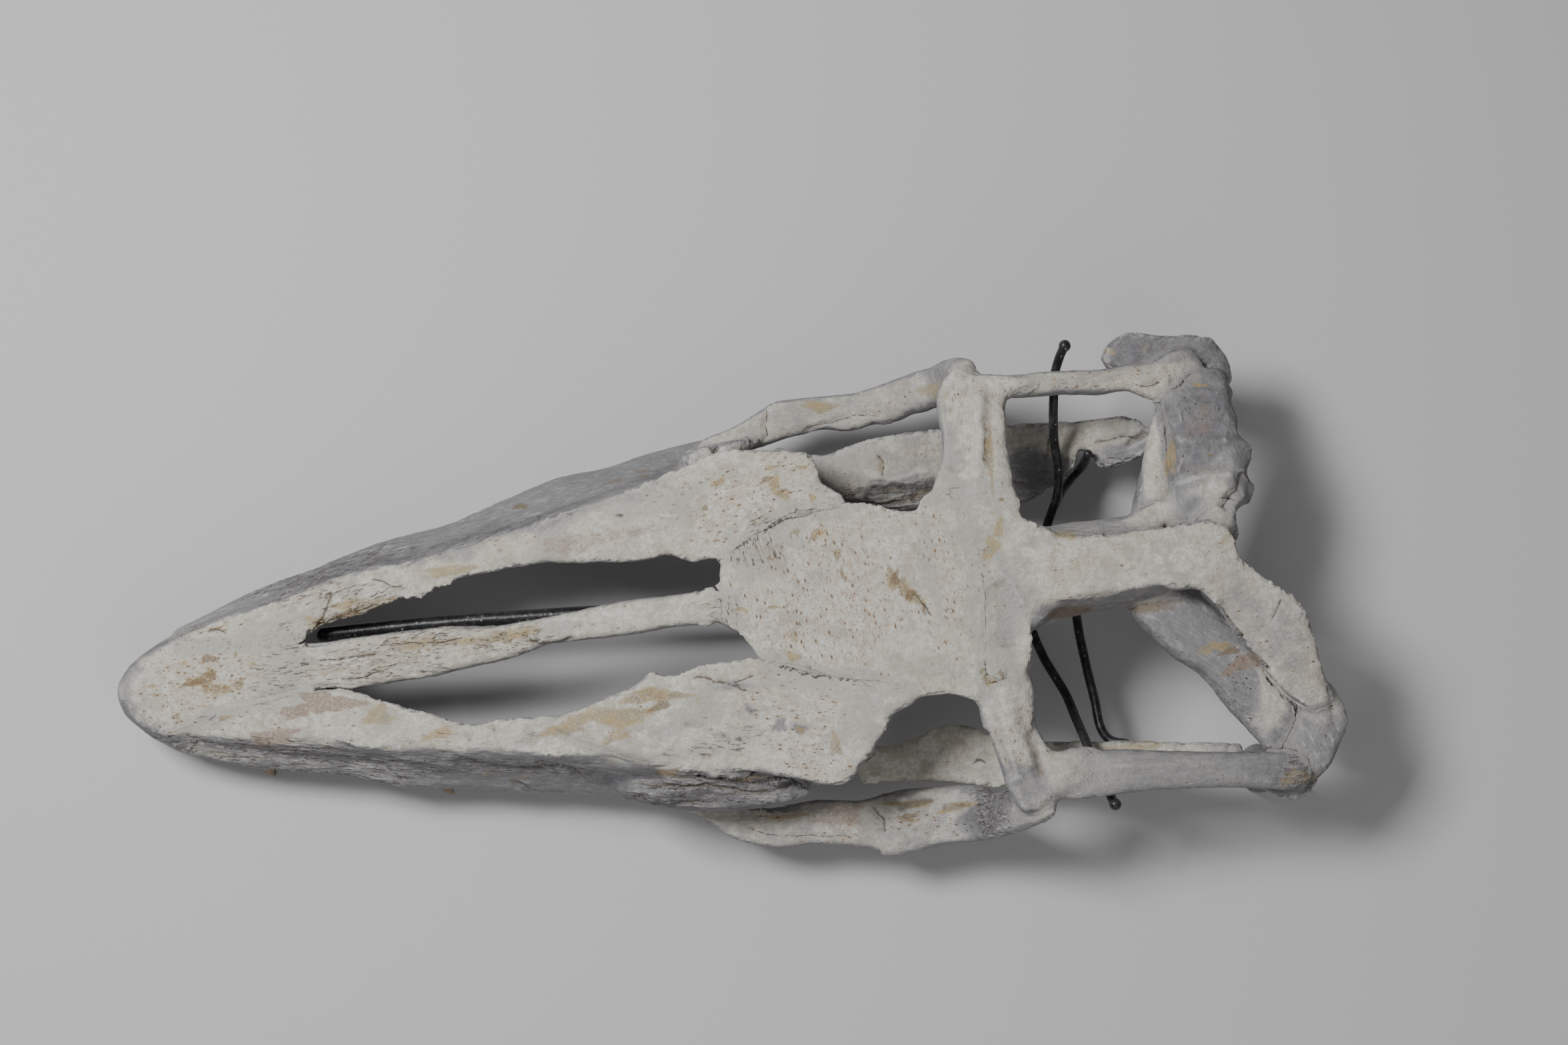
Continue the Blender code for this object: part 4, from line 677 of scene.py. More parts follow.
    Mark(Stain.ROUGH, (440, 54, 46), 44, 12, 0.8), Mark(Stain.PALE_AND_PAINTED_LIGHT, (535, 78, 52), 40, 8, 0.45),
    Mark(Stain.OCHRE, (450, -100, 46), 40, 8, 0.3), Mark(Stain.PALE_AND_PAINTED_LIGHT, (440, -88, 48), 44, 16),
)


@dataclass(frozen=True)
class Nudge:
    """A push that brings a stretch of the bones' outline to its place."""

    centre: Point
    radius: float
    move: Point
    bone: str = ""              # the only bone that moves, or all of them

    def fine(self) -> bool:
        """Whether it is so small that only a dense skin can follow it."""
        return self.radius < 8.5

    def push(self, points: np.ndarray) -> None:
        """Move the points that are near its centre."""
        gap = np.linalg.norm(points - np.array(self.centre), axis=1)
        points += (1.0 - smoothstep(0.1, 1.0, gap / self.radius))[:, None] * np.array(self.move)


NUDGES = (
    # Front end of the right nostril, and its rear end.
    Nudge((124, 21, 72), 22, (-2, 4.5, 0), "maxilla_right"),
    Nudge((112, 22, 72), 12, (0, 3, 0), "maxilla_right"),
    Nudge((118, 14, 72), 14, (0, -1.5, 0), "premaxilla"),
    Nudge((337, 28, 108), 14, (2.5, 2.5, 0)), Nudge((312, 34, 106), 16, (0, 2, 0)),
    Nudge((336, 15, 109), 9, (1.5, -2, 0)),
    # Left nostril.
    Nudge((198, -37, 85), 22, (0, -2.6, 0), "maxilla_left"),
    Nudge((304, -23, 102), 13, (0, -2.8, 0), "prefrontal_left"),
    # Stepped rear edge of the plate behind it.
    Nudge((422, -67, 114), 15, (-4, 1, 0)), Nudge((424, -66, 115), 8, (-3.5, 0, 0)),
    Nudge((412, -76, 115), 7, (-3.5, 0, 0)), Nudge((401, -86, 114), 6, (-2.5, 0, 0)),
    # Two teeth of the left jaw that lean out past its edge.
    Nudge((72, -48, 3), 24, (-4, -6, 0), "maxilla_left"),
    Nudge((170, -68, 3), 24, (0, -6.5, 0), "maxilla_left"),
    # Foot of the left hinge bone.
    Nudge((617, -95, 12), 30, (0, -5, 0), "quadrate_left"),
    Nudge((617, -129, 14), 30, (0, 4.5, 0), "quadrate_left"),
    # Flank in front of the left jaw's spur.
    Nudge((286, -79, 76), 30, (0, 0, 13), "maxilla_left"),
    Nudge((266, -76, 70), 26, (0, 0, 6), "maxilla_left"),
    # Lower edge of the right cheek bone.
    Nudge((393, 100, 56), 15, (0, -1.6, 0), "jugal_right"),
    Nudge((415, 98, 56), 15, (0, -2.6, 0), "jugal_right"),
    Nudge((440, 100, 56), 15, (0, -2.0, 0), "jugal_right"),
    # Corners of the temporal openings.
    Nudge((499, 33, 118), 13, (-3, -3, 0)), Nudge((493, -50, 122), 13, (-2.8, 0, 0)),
    Nudge((461, 58, 118), 14, (-2.8, 0, 0)), Nudge((460, 46, 119), 16, (-6, -1, 0)),
    Nudge((501, 47, 119), 9, (-4, 0, 0)),
    Nudge((514, -95, 111), 18, (0, 5, 0)), Nudge((583, -65, 100), 20, (2.5, 2.5, 0), "braincase"),
    # Rear outline.
    Nudge((579, -8, 122), 15, (-1.5, -6.5, 0), "parietal"), Nudge((616, 21, 112), 9, (-5, 0, 0)),
    Nudge((624, 88, 80), 13, (-3, 0, 0)),
    Nudge((623, 65, 106), 8, (-4, 0, 0)), Nudge((623, 65, 96), 8, (-4, 0, 0)),
    Nudge((625, 43, 106), 8, (-4, 0, 0)), Nudge((625, 43, 96), 8, (-4, 0, 0)),
    Nudge((623, 54, 106), 6, (1.5, 0, 0)), Nudge((625, 33, 106), 6, (1.5, 0, 0)),
)


@dataclass(frozen=True)
class Crumb:
    """A lump of rock or a splinter that is stuck to a bone's edge."""

    place: Point
    size: float
    length: float = 1.0         # how long it is against its width


CRUMBS = (
    Crumb((171, 30, 82), 4.5, 1.6), Crumb((176, 30, 83), 6.0, 1.3), Crumb((181, 31, 83), 5.0, 1.2),
    Crumb((186, 35, 86), 3.5, 1.6), Crumb((190, 35, 86), 4.5, 1.2), Crumb((193, 36, 86), 3.2),
    Crumb((325, 12, 107), 4.2, 1.6), Crumb((331, 13, 108), 5.0, 1.3), Crumb((337, 15, 109), 4.2),
    Crumb((327, -4, 106), 4.0, 1.6), Crumb((122, 38, 73), 4.0), Crumb((124, 33, 73), 3.2, 1.5),
    Crumb((114, 20, 71), 3.6, 1.4), Crumb((452, -98, 48), 4.0, 1.8), Crumb((459, -99, 48), 3.0, 1.5),
    Crumb((298, -73, 97), 11.0, 1.8), Crumb((310, -75, 98), 11.0, 1.8), Crumb((322, -78, 98), 11.0, 1.8),
    Crumb((334, -81, 97), 10.0, 1.8), Crumb((346, -85, 95), 9.0, 1.8), Crumb((357, -89, 92), 8.0, 1.6),
    Crumb((612, 12, 100), 15.0, 0.4), Crumb((581, 73, 104), 5.0), Crumb((600, 109, 94), 9.0),
    Crumb((603, 104, 96), 8.0),
)


@dataclass(frozen=True)
class Melt:
    """A stretch of one bone where steps are worn to slopes."""

    bone: str
    centre: Point
    radius: float
    rounds: int
    late: bool = False          # whether it is worn after the joints are filled

    def wear(self, mesh: bpy.types.Mesh) -> None:
        """Smooth the mesh round its centre."""
        points, _ = read_points(mesh)
        gap = np.linalg.norm(points - np.array(self.centre), axis=1) / self.radius
        share = (1.0 - smoothstep(0.55, 1.0, gap))[:, None]
        write_points(mesh, points + share * (smoothed(mesh, points, self.rounds) - points))


MELTS = (
    Melt("maxilla_left", (286, -80, 82), 36, 90), Melt("maxilla_left", (326, -80, 96), 30, 30),
    Melt("maxilla_left", (268, -84, 64), 28, 90), Melt("parietal", (504, -20, 120), 14, 60, True),
    Melt("jugal_left", (446, -112, 58), 24, 20), Melt("squamosal_left", (622, -112, 98), 26, 30),
    Melt("supratemporal_left", (640, -92, 100), 24, 30),
)


@dataclass(frozen=True)
class Bone:
    """How one bone is skinned and coloured."""

    name: str
    along: Point = (1.0, 0.0, 0.0)      # the way its fibres run
    cell: float = 1.0                   # grain of its skin, in mm
    grey: float = 0.0                   # greyness of its upper face, 0 to 1: its own tone, and on the rear bones also painted shade where the light falls off
    flank: float = 0.7                  # greyness that its steep faces gain: their grey-lilac colour and painted shade on faces turned from the light
    slot: str = "fossil_bone"

    def direction(self) -> Vector:
        """The unit vector along its fibres."""
        return Vector(self.along).normalized()


SIDE_SLOT = "fossil_bone_side"
BONES = (
    Bone("premaxilla", flank=0.75),
    Bone("maxilla_right", (0.96, 0.24, 0.12), 1.15, 0.12, 0.95),
    Bone("maxilla_left", (0.96, -0.24, 0.12), 1.15, 0.15, 0.9),
    Bone("prefrontal_right", (0.97, 0.2, 0.1)),
    Bone("prefrontal_left", (0.97, -0.2, 0.1), grey=0.2),
    Bone("frontal", (-0.2, 1.0, 0.0), flank=0.5),
    Bone("parietal", grey=0.16, flank=0.6),
    Bone("postorbitofrontal_right", (0.1, 1.0, -0.3), 0.95),
    Bone("postorbitofrontal_left", (0.2, -1.0, -0.3), 0.95, 0.3),
    Bone("jugal_right", cell=0.95, grey=0.45),
    Bone("jugal_left", cell=0.95, grey=0.5, flank=0.5),
    Bone("squamosal_right", cell=0.95, grey=0.45),
    Bone("squamosal_left", cell=0.95, grey=1.15, flank=0.4),
    Bone("supratemporal_right", (0.0, 1.0, 0.1), 0.95, 1.5, 0.3),
    Bone("supratemporal_left", (0.4, -1.0, 0.0), 0.95, 0.9, 0.4),
    Bone("quadrate_right", (0.1, 0.1, 1.0), 1.2, 1.35, 0.3, SIDE_SLOT),
    Bone("quadrate_left", (0.1, -0.1, 1.0), 1.2, 1.35, 0.3, SIDE_SLOT),
    Bone("pterygoid_right", cell=1.2, grey=0.6, flank=0.5),
    Bone("pterygoid_left", cell=1.2, grey=0.2, flank=0.5),
    Bone("palatine_right", cell=1.4, grey=0.8),
    Bone("palatine_left", cell=1.4, grey=0.8),
    Bone("braincase", (0.7, -0.6, 0.1), 1.2, 1.1, 0.3, SIDE_SLOT),
)


def pore_group() -> bpy.types.NodeTree:
    """Small pores, each a short slit along the fibres, with rust round it."""
    graph = Graph(bpy.data.node_groups.new("pores", "ShaderNodeTree"))
    at = graph.sockets({"Place": "Vector", "Spacing": "Float", "Amount": "Float"},
                       {"Mask": "Float", "Halo": "Float", "Luck": "Float"})
    node = graph.node("ShaderNodeTexVoronoi")
    graph.feed(node.inputs["Vector"], at["Place"])
    graph.feed(node.inputs["Scale"], graph.math("DIVIDE", 1.0, at["Spacing"]))
    luck = graph.node("ShaderNodeSeparateColor")
    graph.feed(luck.inputs[0], node.outputs["Color"])
    size = graph.ramp(luck.outputs[0], 0.0, 1.0, 0.14, 0.29)
    away = node.outputs["Distance"]
    spot = graph.math("SUBTRACT", 1.0, graph.ramp(away, graph.math("MULTIPLY", size, 0.5), size))
    ring = graph.math("SUBTRACT", 1.0, graph.ramp(away, size, graph.math("MULTIPLY", size, 2.4)))
    limit = graph.math("SUBTRACT", 1.0, at["Amount"])
    shown = graph.ramp(luck.outputs[1], limit, graph.math("ADD", limit, 0.2))
    graph.finish(mask=graph.math("MULTIPLY", spot, shown), halo=graph.math("MULTIPLY", ring, shown),
                 luck=luck.outputs[2])
    return graph.tree


def fibre_group() -> bpy.types.NodeTree:
    """Long fibres: a light and dark grain, and thin cracks between them."""
    graph = Graph(bpy.data.node_groups.new("fibres", "ShaderNodeTree"))
    at = graph.sockets({"Place": "Vector", "Fineness": "Float"}, {"Grain": "Float", "Splits": "Float"})
    grain = graph.noise(at["Place"], at["Fineness"], 5.0, 0.62)
    wide = graph.noise(at["Place"], graph.math("MULTIPLY", at["Fineness"], 0.5), 3.0, 0.6)
    gaps = graph.noise(at["Place"], graph.math("MULTIPLY", at["Fineness"], 1.3), 2.0, 0.5)
    splits = graph.product(graph.ramp(graph.ridge(wide), 0.93, 0.985), graph.ramp(gaps, 0.46, 0.58))
    graph.finish(grain=grain, splits=splits)
    return graph.tree


def blotch_group() -> bpy.types.NodeTree:
    """Turns a soft mask into a ragged, mottled patch, and its darker core."""
    graph = Graph(bpy.data.node_groups.new("blotch", "ShaderNodeTree"))
    at = graph.sockets({"Place": "Vector", "Mask": "Float", "Scale": "Float"},
                       {"Patch": "Float", "Core": "Float"})
    wave = graph.noise(at["Place"], at["Scale"], 6.0, 0.7)
    speck = graph.noise(at["Place"], graph.math("MULTIPLY", at["Scale"], 3.4), 4.0, 0.7)
    value = graph.total(graph.product(at["Mask"], 3.3), graph.product(wave, 3.2),
                        graph.product(speck, 1.6), -3.0)
    patch = graph.product(graph.ramp(value, 0.35, 1.05), graph.ramp(speck, 0.36, 0.56, 0.5, 1.0),
                          graph.ramp(at["Mask"], 0.02, 0.7))
    graph.finish(patch=patch, core=graph.product(graph.ramp(value, 1.9, 3.0),
                                                 graph.ramp(speck, 0.41, 0.54)))
    return graph.tree


@dataclass(frozen=True)
class BoneFinish:
    """Chalky mineralised bone, with its stains, pores, cracks and dirt; its greyer steep faces and rear
    bones, and its grey, pale and slate marks, are partly painted shade and painted light.
    """

    name: str
    light: Point = (0.775, 0.76, 0.705)
    warm: Point = (0.665, 0.63, 0.54)
    putty: Point = (0.50, 0.485, 0.44)
    # Grey-lilac of the sides, which also serves as painted shade on steep faces.
    cool: Point = (0.47, 0.46, 0.457)
    cool_dark: Point = (0.27, 0.264, 0.268)
    # Dark and mid greys of very grey places: the bones' own tone and painted shade.
    deep_grey_and_shade: Point = (0.14, 0.132, 0.138)
    mid_grey_and_shade: Point = (0.27, 0.262, 0.268)
    ochre: Point = (0.44, 0.32, 0.145)
    olive: Point = (0.305, 0.26, 0.16)
    umber: Point = (0.23, 0.165, 0.095)
    brown: Point = (0.185, 0.13, 0.085)
    filler: Point = (0.40, 0.392, 0.355)
    pink: Point = (0.30, 0.218, 0.168)
    slate: Point = (0.085, 0.085, 0.083)
    rust: Point = (0.43, 0.25, 0.125)
    crack: Point = (0.075, 0.055, 0.042)
    soot: Point = (0.065, 0.062, 0.064)
    # Brownish dark of crack rims and of hollows.
    dirt: Point = (0.27, 0.235, 0.195)
    enamel: Point = (0.36, 0.27, 0.18)
    enamel_tip: Point = (0.20, 0.13, 0.08)
    greyness: float = 0.0           # added to the bone's own greyness
    relief: float = 1.0             # height of the finest relief

    def build(self, groups: dict[str, bpy.types.NodeTree]) -> bpy.types.Material:
        """Make the material.

        Args:
            groups: the shared effects by name.

        Returns:
            The material.
        """
        material = bpy.data.materials.new(self.name)
        material.use_nodes = True
        graph = Graph(material.node_tree)
        shader = material.node_tree.nodes["Principled BSDF"]
        mask = {}
        for name in ("crack", "crack_line", "greyness", "hollow", "tooth", "joint",
                     *(stain.value for stain in Stain)):
            mask[name] = graph.node("ShaderNodeAttribute", attribute_name=name).outputs["Fac"]
        along = graph.node("ShaderNodeAttribute", attribute_name="along").outputs["Vector"]
        place = graph.vector("SCALE", graph.node("ShaderNodeTexCoord").outputs["Object"], 1.0 / MM)
        drawn = graph.stretched(place, along, 0.8)
        slit = graph.stretched(place, along, 0.6)
        calm = graph.math("SUBTRACT", 1.0, mask["tooth"])

        broad = graph.noise(place, 0.03, 4.0, 0.6)
        patchy = graph.noise(place, 0.11, 5.0, 0.65)
        zones = graph.noise(place, 0.055, 5.0, 0.55)
        mottle = graph.noise(place, 0.3, 5.0, 0.7)
        fine = graph.noise(place, 0.9, 5.0, 0.7)
        fibre = graph.use(groups["fibres"], place=drawn, fineness=0.6)
        grain, splits = fibre["Grain"], fibre["Splits"]

        blend = graph.total(graph.product(broad, 0.6), graph.product(patchy, 0.6))
        roof = graph.mix(graph.ramp(blend, 0.46, 0.74), self.light, self.warm)
        roof = graph.mix(graph.ramp(zones, 0.53, 0.6, 0.0, 0.62), roof, self.putty)
        # The flank colour is grey-lilac, also used as painted shade on steep faces.
        flank = graph.mix(graph.ramp(graph.total(patchy, graph.product(grain, 0.8)), 0.66, 1.1),
                          self.cool_dark, self.cool)
        # Greyness: the bone's own tone and painted shade on its steep faces, raised by the grey marks
        # (partly painted shade) and lowered by the pale marks (partly painted light).
        grey = graph.total(mask["greyness"], self.greyness, mask["grey"],
                           graph.product(mask["pale"], -1.3),
                           graph.product(graph.math("SUBTRACT", patchy, 0.5), 1.1))
        colour = graph.mix(graph.ramp(grey, 0.1, 0.9), roof, flank)
        # Very grey places turn dark grey: the bones' own tone, and painted shade on shaded faces and
        # where the light falls off towards the rear.
        cloud = graph.ramp(graph.noise(place, 0.16, 6.0, 0.7), 0.4, 0.62)
        deep_grey_and_shade = graph.mix(cloud, self.deep_grey_and_shade, self.mid_grey_and_shade)
        colour = graph.mix(graph.ramp(grey, 0.8, 1.5, 0.0, 0.9), colour, deep_grey_and_shade)
        flakes = graph.product(graph.ramp(graph.noise(drawn, 0.6, 4.0, 0.6), 0.56, 0.61),
                               graph.ramp(patchy, 0.4, 0.6),
                               graph.ramp(grey, 0.3, 0.8), graph.ramp(grey, 1.2, 0.9, 0.2, 1.0), 0.85)
        colour = graph.mix(flakes, colour, self.light)
        streak = graph.ramp(grain, 0.32, 0.66)
        strength = graph.total(0.13, graph.product(mask["rough"], 0.5))
        colour = graph.mix(strength, colour, graph.mix(streak, (0.36, 0.34, 0.33), (1.0, 1.0, 1.0)),
                           "MULTIPLY")
        grime = graph.mix(graph.ramp(grey, 0.3, 0.9), (0.40, 0.36, 0.29), (0.24, 0.235, 0.25))
        colour = graph.mix(graph.ramp(mottle, 0.36, 0.6, 0.54, 0.0), colour, grime)
        colour = graph.mix(graph.ramp(fine, 0.33, 0.6, 0.54, 0.0), colour, grime)

        blotch = groups["blotch"]
        join = graph.use(blotch, place=place, mask=graph.math("MAXIMUM", mask["filler"],
                                                              graph.product(mask["joint"], 0.85)),
                         scale=0.16)
        putty = graph.mix(graph.ramp(fine, 0.4, 0.62), self.putty, self.filler)
        colour = graph.mix(graph.product(join["Patch"], graph.ramp(grey, 0.5, 1.2, 0.8, 0.25)),
                           colour, putty)
        earth = graph.mix(graph.ramp(patchy, 0.42, 0.58), self.olive, self.ochre)
        # The slate mark paints a dark face; on the right pterygoid's lower face it is painted shade.
        for name, tint, core, scale, share in (("pink", self.pink, self.pink, 0.2, 0.85),
                                               ("ochre", earth, self.umber, 0.24, 0.85),
                                               ("brown", self.umber, self.brown, 0.4, 0.85),
                                               ("slate", self.slate, self.slate, 0.07, 0.85)):
            spot = graph.use(blotch, place=place, mask=mask[name], scale=scale)
            tint = graph.mix(graph.product(spot["Core"], 0.7), tint, core)
            colour = graph.mix(graph.product(spot["Patch"], share), colour, tint)
        clean = graph.product(calm, graph.math("SUBTRACT", 1.0, graph.product(join["Patch"], 0.6)))
        earthy = graph.ramp(grey, 0.35, 0.95, 1.0, 0.12)
        flecks = graph.product(graph.ramp(graph.noise(slit, 0.6, 5.0, 0.65), 0.56, 0.66),
                               graph.ramp(zones, 0.44, 0.56, 1.0, 0.15),
                               graph.total(0.14, graph.product(mask["pores"], 0.5),
                                           graph.product(mask["rough"], 0.25)), clean, earthy)
        colour = graph.mix(flecks, colour, self.rust)

        amount = graph.total(0.15, graph.product(mask["pores"], 0.82),
                             graph.product(mask["rough"], 0.2),
                             graph.product(graph.math("SUBTRACT", zones, 0.5), -1.0),
                             graph.product(graph.math("SUBTRACT", broad, 0.5), 0.8))
        pores = graph.use(groups["pores"], place=slit, spacing=1.9, amount=amount)
        dots = graph.use(groups["pores"], place=slit, spacing=1.15, amount=amount)
        tint = graph.mix(graph.ramp(pores["Luck"], 0.35, 0.65), self.brown, (0.31, 0.19, 0.10))
        tint = graph.mix(earthy, self.soot, tint)
        colour = graph.mix(graph.product(pores["Halo"], clean, earthy, 0.22), colour, self.rust)
        colour = graph.mix(graph.product(pores["Mask"], clean, 0.95), colour, tint)
        colour = graph.mix(graph.product(dots["Mask"], clean, 0.8), colour,
                           graph.mix(earthy, self.soot, (0.22, 0.15, 0.095)))

        split = graph.product(splits, graph.ramp(graph.total(mask["rough"], graph.product(patchy, 0.9)),
                                                 0.62, 1.0), calm)
        colour = graph.mix(graph.product(split, 0.8), colour, self.crack)
        reach = graph.math("ABSOLUTE", mask["crack"])
        ragged = graph.ramp(graph.noise(place, 0.45, 4.0, 0.6), 0.36, 0.62, 0.1, 1.3)
        edge = graph.math("MULTIPLY", mask["crack_line"], ragged)
        line = graph.math("SUBTRACT", 1.0, graph.ramp(reach, graph.math("MULTIPLY", edge, 0.4),
                                                      graph.total(edge, 0.04)))
        line = graph.product(line, graph.ramp(edge, 0.02, 0.2))
        rim = graph.product(graph.ramp(reach, 0.2, 1.8, 0.42, 0.0),
                            graph.ramp(graph.product(mask["crack_line"], ragged), 0.05, 0.8))
        colour = graph.mix(rim, colour, self.dirt)
        colour = graph.mix(graph.product(line, 0.85), colour, self.crack)

        # Darker in hollows and lighter on edges that stand out, by the measured shape.
        deep = graph.ramp(graph.total(mask["hollow"], graph.product(fine, 0.14)), 0.12, 0.55, 0.0, 0.62)
        deep = graph.product(deep, graph.math("SUBTRACT", 1.0, graph.product(mask["joint"], 0.75)))
        colour = graph.mix(deep, colour, self.dirt)
        worn = graph.product(graph.ramp(mask["hollow"], -0.5, -0.1, 0.35, 0.0),
                             graph.math("SUBTRACT", 1.0, mask["joint"]))
        colour = graph.mix(graph.product(worn, calm), colour, self.light)

        crown = graph.mix(graph.ramp(graph.noise(drawn, 0.4, 4.0, 0.6), 0.35, 0.7), self.enamel,
                          self.enamel_tip)
        colour = graph.mix(graph.product(mask["tooth"], 0.9), colour, crown)
        graph.feed(shader.inputs["Base Color"], colour)
        rough = graph.ramp(fine, 0.2, 0.8, 0.80, 0.96)
        graph.feed(shader.inputs["Roughness"], graph.math("SUBTRACT", rough,
                                                          graph.product(mask["tooth"], 0.42)))
        shader.inputs["Specular IOR Level"].default_value = 0.28

        height = graph.total(graph.product(fine, 0.34), graph.product(patchy, 0.35),
                             graph.product(mottle, 0.8), graph.product(flakes, 0.3),
                             graph.product(grain, graph.total(0.12, graph.product(mask["rough"], 0.5),
                                                              graph.ramp(grey, 0.2, 1.0, 0.0, 0.05))),
                             graph.product(pores["Mask"], calm, -0.34),
                             graph.product(dots["Mask"], calm, -0.16),
                             graph.product(split, -0.4), graph.product(line, -0.55))
        bump = graph.node("ShaderNodeBump")
        bump.inputs["Distance"].default_value = MM * self.relief
        bump.inputs["Strength"].default_value = 1.0
        graph.feed(bump.inputs["Height"], height)
        graph.feed(shader.inputs["Normal"], bump.outputs[0])
        return material


@dataclass(frozen=True)
class SteelFinish:
    """Black paint on steel, satin and dusty."""

    name: str = "blackened_steel"
    black: Point = (0.022, 0.022, 0.024)
    grey: Point = (0.065, 0.065, 0.069)
    dust: Point = (0.42, 0.40, 0.37)

    def build(self, groups: dict[str, bpy.types.NodeTree]) -> bpy.types.Material:
        """Make the material.

        Args:
            groups: the shared effects by name.

        Returns:
            The material.
        """
        material = bpy.data.materials.new(self.name)
        material.use_nodes = True
        graph = Graph(material.node_tree)
        shader = material.node_tree.nodes["Principled BSDF"]
        place = graph.vector("SCALE", graph.node("ShaderNodeTexCoord").outputs["Object"], 1.0 / MM)
        worn = graph.ramp(graph.noise(place, 0.25, 4.0, 0.6), 0.4, 0.75)
        fine = graph.noise(place, 1.4, 4.0, 0.7)
        colour = graph.mix(worn, self.black, self.grey)
        flecks = graph.use(groups["pores"], place=place, spacing=2.6, amount=0.35)["Mask"]
        film = graph.ramp(graph.noise(place, 0.6, 4.0, 0.6), 0.52, 0.8, 0.0, 0.10)
        colour = graph.mix(film, colour, self.dust)
        colour = graph.mix(graph.product(flecks, 0.8), colour, self.dust)
        graph.feed(shader.inputs["Base Color"], colour)
        graph.feed(shader.inputs["Roughness"], graph.total(graph.ramp(fine, 0.3, 0.7, 0.26, 0.42),
                                                           graph.product(flecks, 0.4)))
        shader.inputs["Metallic"].default_value = 0.25
        bump = graph.node("ShaderNodeBump")
        bump.inputs["Distance"].default_value = 0.2 * MM
        graph.feed(bump.inputs["Height"], graph.total(graph.noise(place, 0.5, 3.0, 0.6),
                                                      graph.product(fine, 0.3)))
        graph.feed(shader.inputs["Normal"], bump.outputs[0])
        return material


def set_inputs(modifier: bpy.types.Modifier, values: dict[str, object]) -> None:
    """Give a node modifier its inputs, by their names in its tree."""
    for item in modifier.node_group.interface.items_tree:
        if item.item_type == "SOCKET" and item.in_out == "INPUT" and item.name in values:
            modifier[item.identifier] = values[item.name]


@dataclass
class Weather:
    """Ages a bone's surface: swells, furrows, pits and chipped edges. Heights are in mm."""

    swell: float = 0.65
    lump: float = 0.5
    grain: float = 0.35
    furrow: float = 0.55
    pit: float = 0.6
    rough: float = 1.1
    chip: float = 1.8
    tree: bpy.types.NodeTree = field(init=False)

    def __post_init__(self) -> None:
        """Build the node tree once."""
        graph = Graph(bpy.data.node_groups.new("weather", "GeometryNodeTree"))
        at = graph.sockets({"Geometry": "Geometry", "Along": "Vector", "Swell": "Float",
                            "Lump": "Float", "Grain": "Float", "Furrow": "Float", "Pit": "Float",
                            "Rough": "Float", "Chip": "Float", "Material": "Material"},
                           {"Geometry": "Geometry"})
        masks = {}
        for name in ("rough", "edge", "calm"):
            node = graph.node("GeometryNodeInputNamedAttribute", data_type="FLOAT")
            node.inputs["Name"].default_value = name
            masks[name] = node.outputs[0]
        place = graph.vector("SCALE", graph.node("GeometryNodeInputPosition").outputs[0], 1.0 / MM)
        drawn = graph.stretched(place, at["Along"], 0.84)
        middle = lambda value: graph.math("SUBTRACT", value, 0.5)
        swell = graph.product(middle(graph.noise(place, 0.035, 2.0)), 2.0, at["Swell"])
        lump = graph.product(middle(graph.noise(place, 0.13, 3.0)), 2.0, at["Lump"])
        grain = graph.product(middle(graph.noise(drawn, 0.32, 4.0, 0.6)), 2.0, at["Grain"],
                              graph.total(0.5, graph.product(masks["rough"], 1.6)))
        crest = graph.ridge(graph.noise(drawn, 0.11, 3.0, 0.55))
        gate = graph.ramp(graph.total(masks["rough"], graph.noise(place, 0.05, 2.0)), 0.6, 1.15)
        furrow = graph.product(graph.ramp(crest, 0.86, 0.99), gate, at["Furrow"], -1.0)
        cells = graph.node("ShaderNodeTexVoronoi")
        graph.feed(cells.inputs["Vector"], place)
        graph.feed(cells.inputs["Scale"], 0.13)
        luck = graph.node("ShaderNodeSeparateXYZ")
        graph.feed(luck.inputs[0], cells.outputs["Color"])
        pit = graph.product(graph.ramp(cells.outputs["Distance"], 0.04, 0.24, 1.0, 0.0),
                            graph.ramp(luck.outputs[0], 0.62, 0.9), at["Pit"], -1.0)
        rough = graph.product(middle(graph.noise(drawn, 0.42, 4.0, 0.7)), 2.0, masks["rough"],
                              at["Rough"])
        chip = graph.product(masks["edge"], graph.ramp(graph.noise(place, 0.17, 4.0, 0.6), 0.42, 0.66),
                             at["Chip"], -1.0)
        nick = graph.product(masks["edge"], graph.ramp(graph.noise(place, 0.5, 3.0), 0.46, 0.6),
                             at["Chip"], -0.4)
        height = graph.product(graph.total(swell, lump, grain, furrow, pit, rough, chip, nick),
                               graph.math("SUBTRACT", 1.0, masks["calm"]), MM)
        normal = graph.node("GeometryNodeInputNormal").outputs[0]
        move = graph.node("GeometryNodeSetPosition")
        graph.feed(move.inputs["Geometry"], at["Geometry"])
        graph.feed(move.inputs["Offset"], graph.vector("SCALE", normal, height))
        real = graph.node("GeometryNodeRealizeInstances")
        graph.feed(real.inputs[0], move.outputs[0])
        dress = graph.node("GeometryNodeSetMaterial")
        graph.feed(dress.inputs["Geometry"], real.outputs[0])
        graph.feed(dress.inputs["Material"], at["Material"])
        graph.finish(geometry=dress.outputs[0])
        self.tree = graph.tree

    def age(self, obj: bpy.types.Object, along: Vector, material: bpy.types.Material) -> None:
        """Run the tree on a bone.

        Args:
            obj: the bone, changed in place.
            along: the way its fibres run.
            material: its material.
        """
        modifier = obj.modifiers.new("Weather", "NODES")
        modifier.node_group = self.tree
        set_inputs(modifier, {"Along": tuple(along), "Swell": self.swell, "Lump": self.lump,
                              "Grain": self.grain, "Furrow": self.furrow, "Pit": self.pit,
                              "Rough": self.rough, "Chip": self.chip, "Material": material})
        settle(obj)


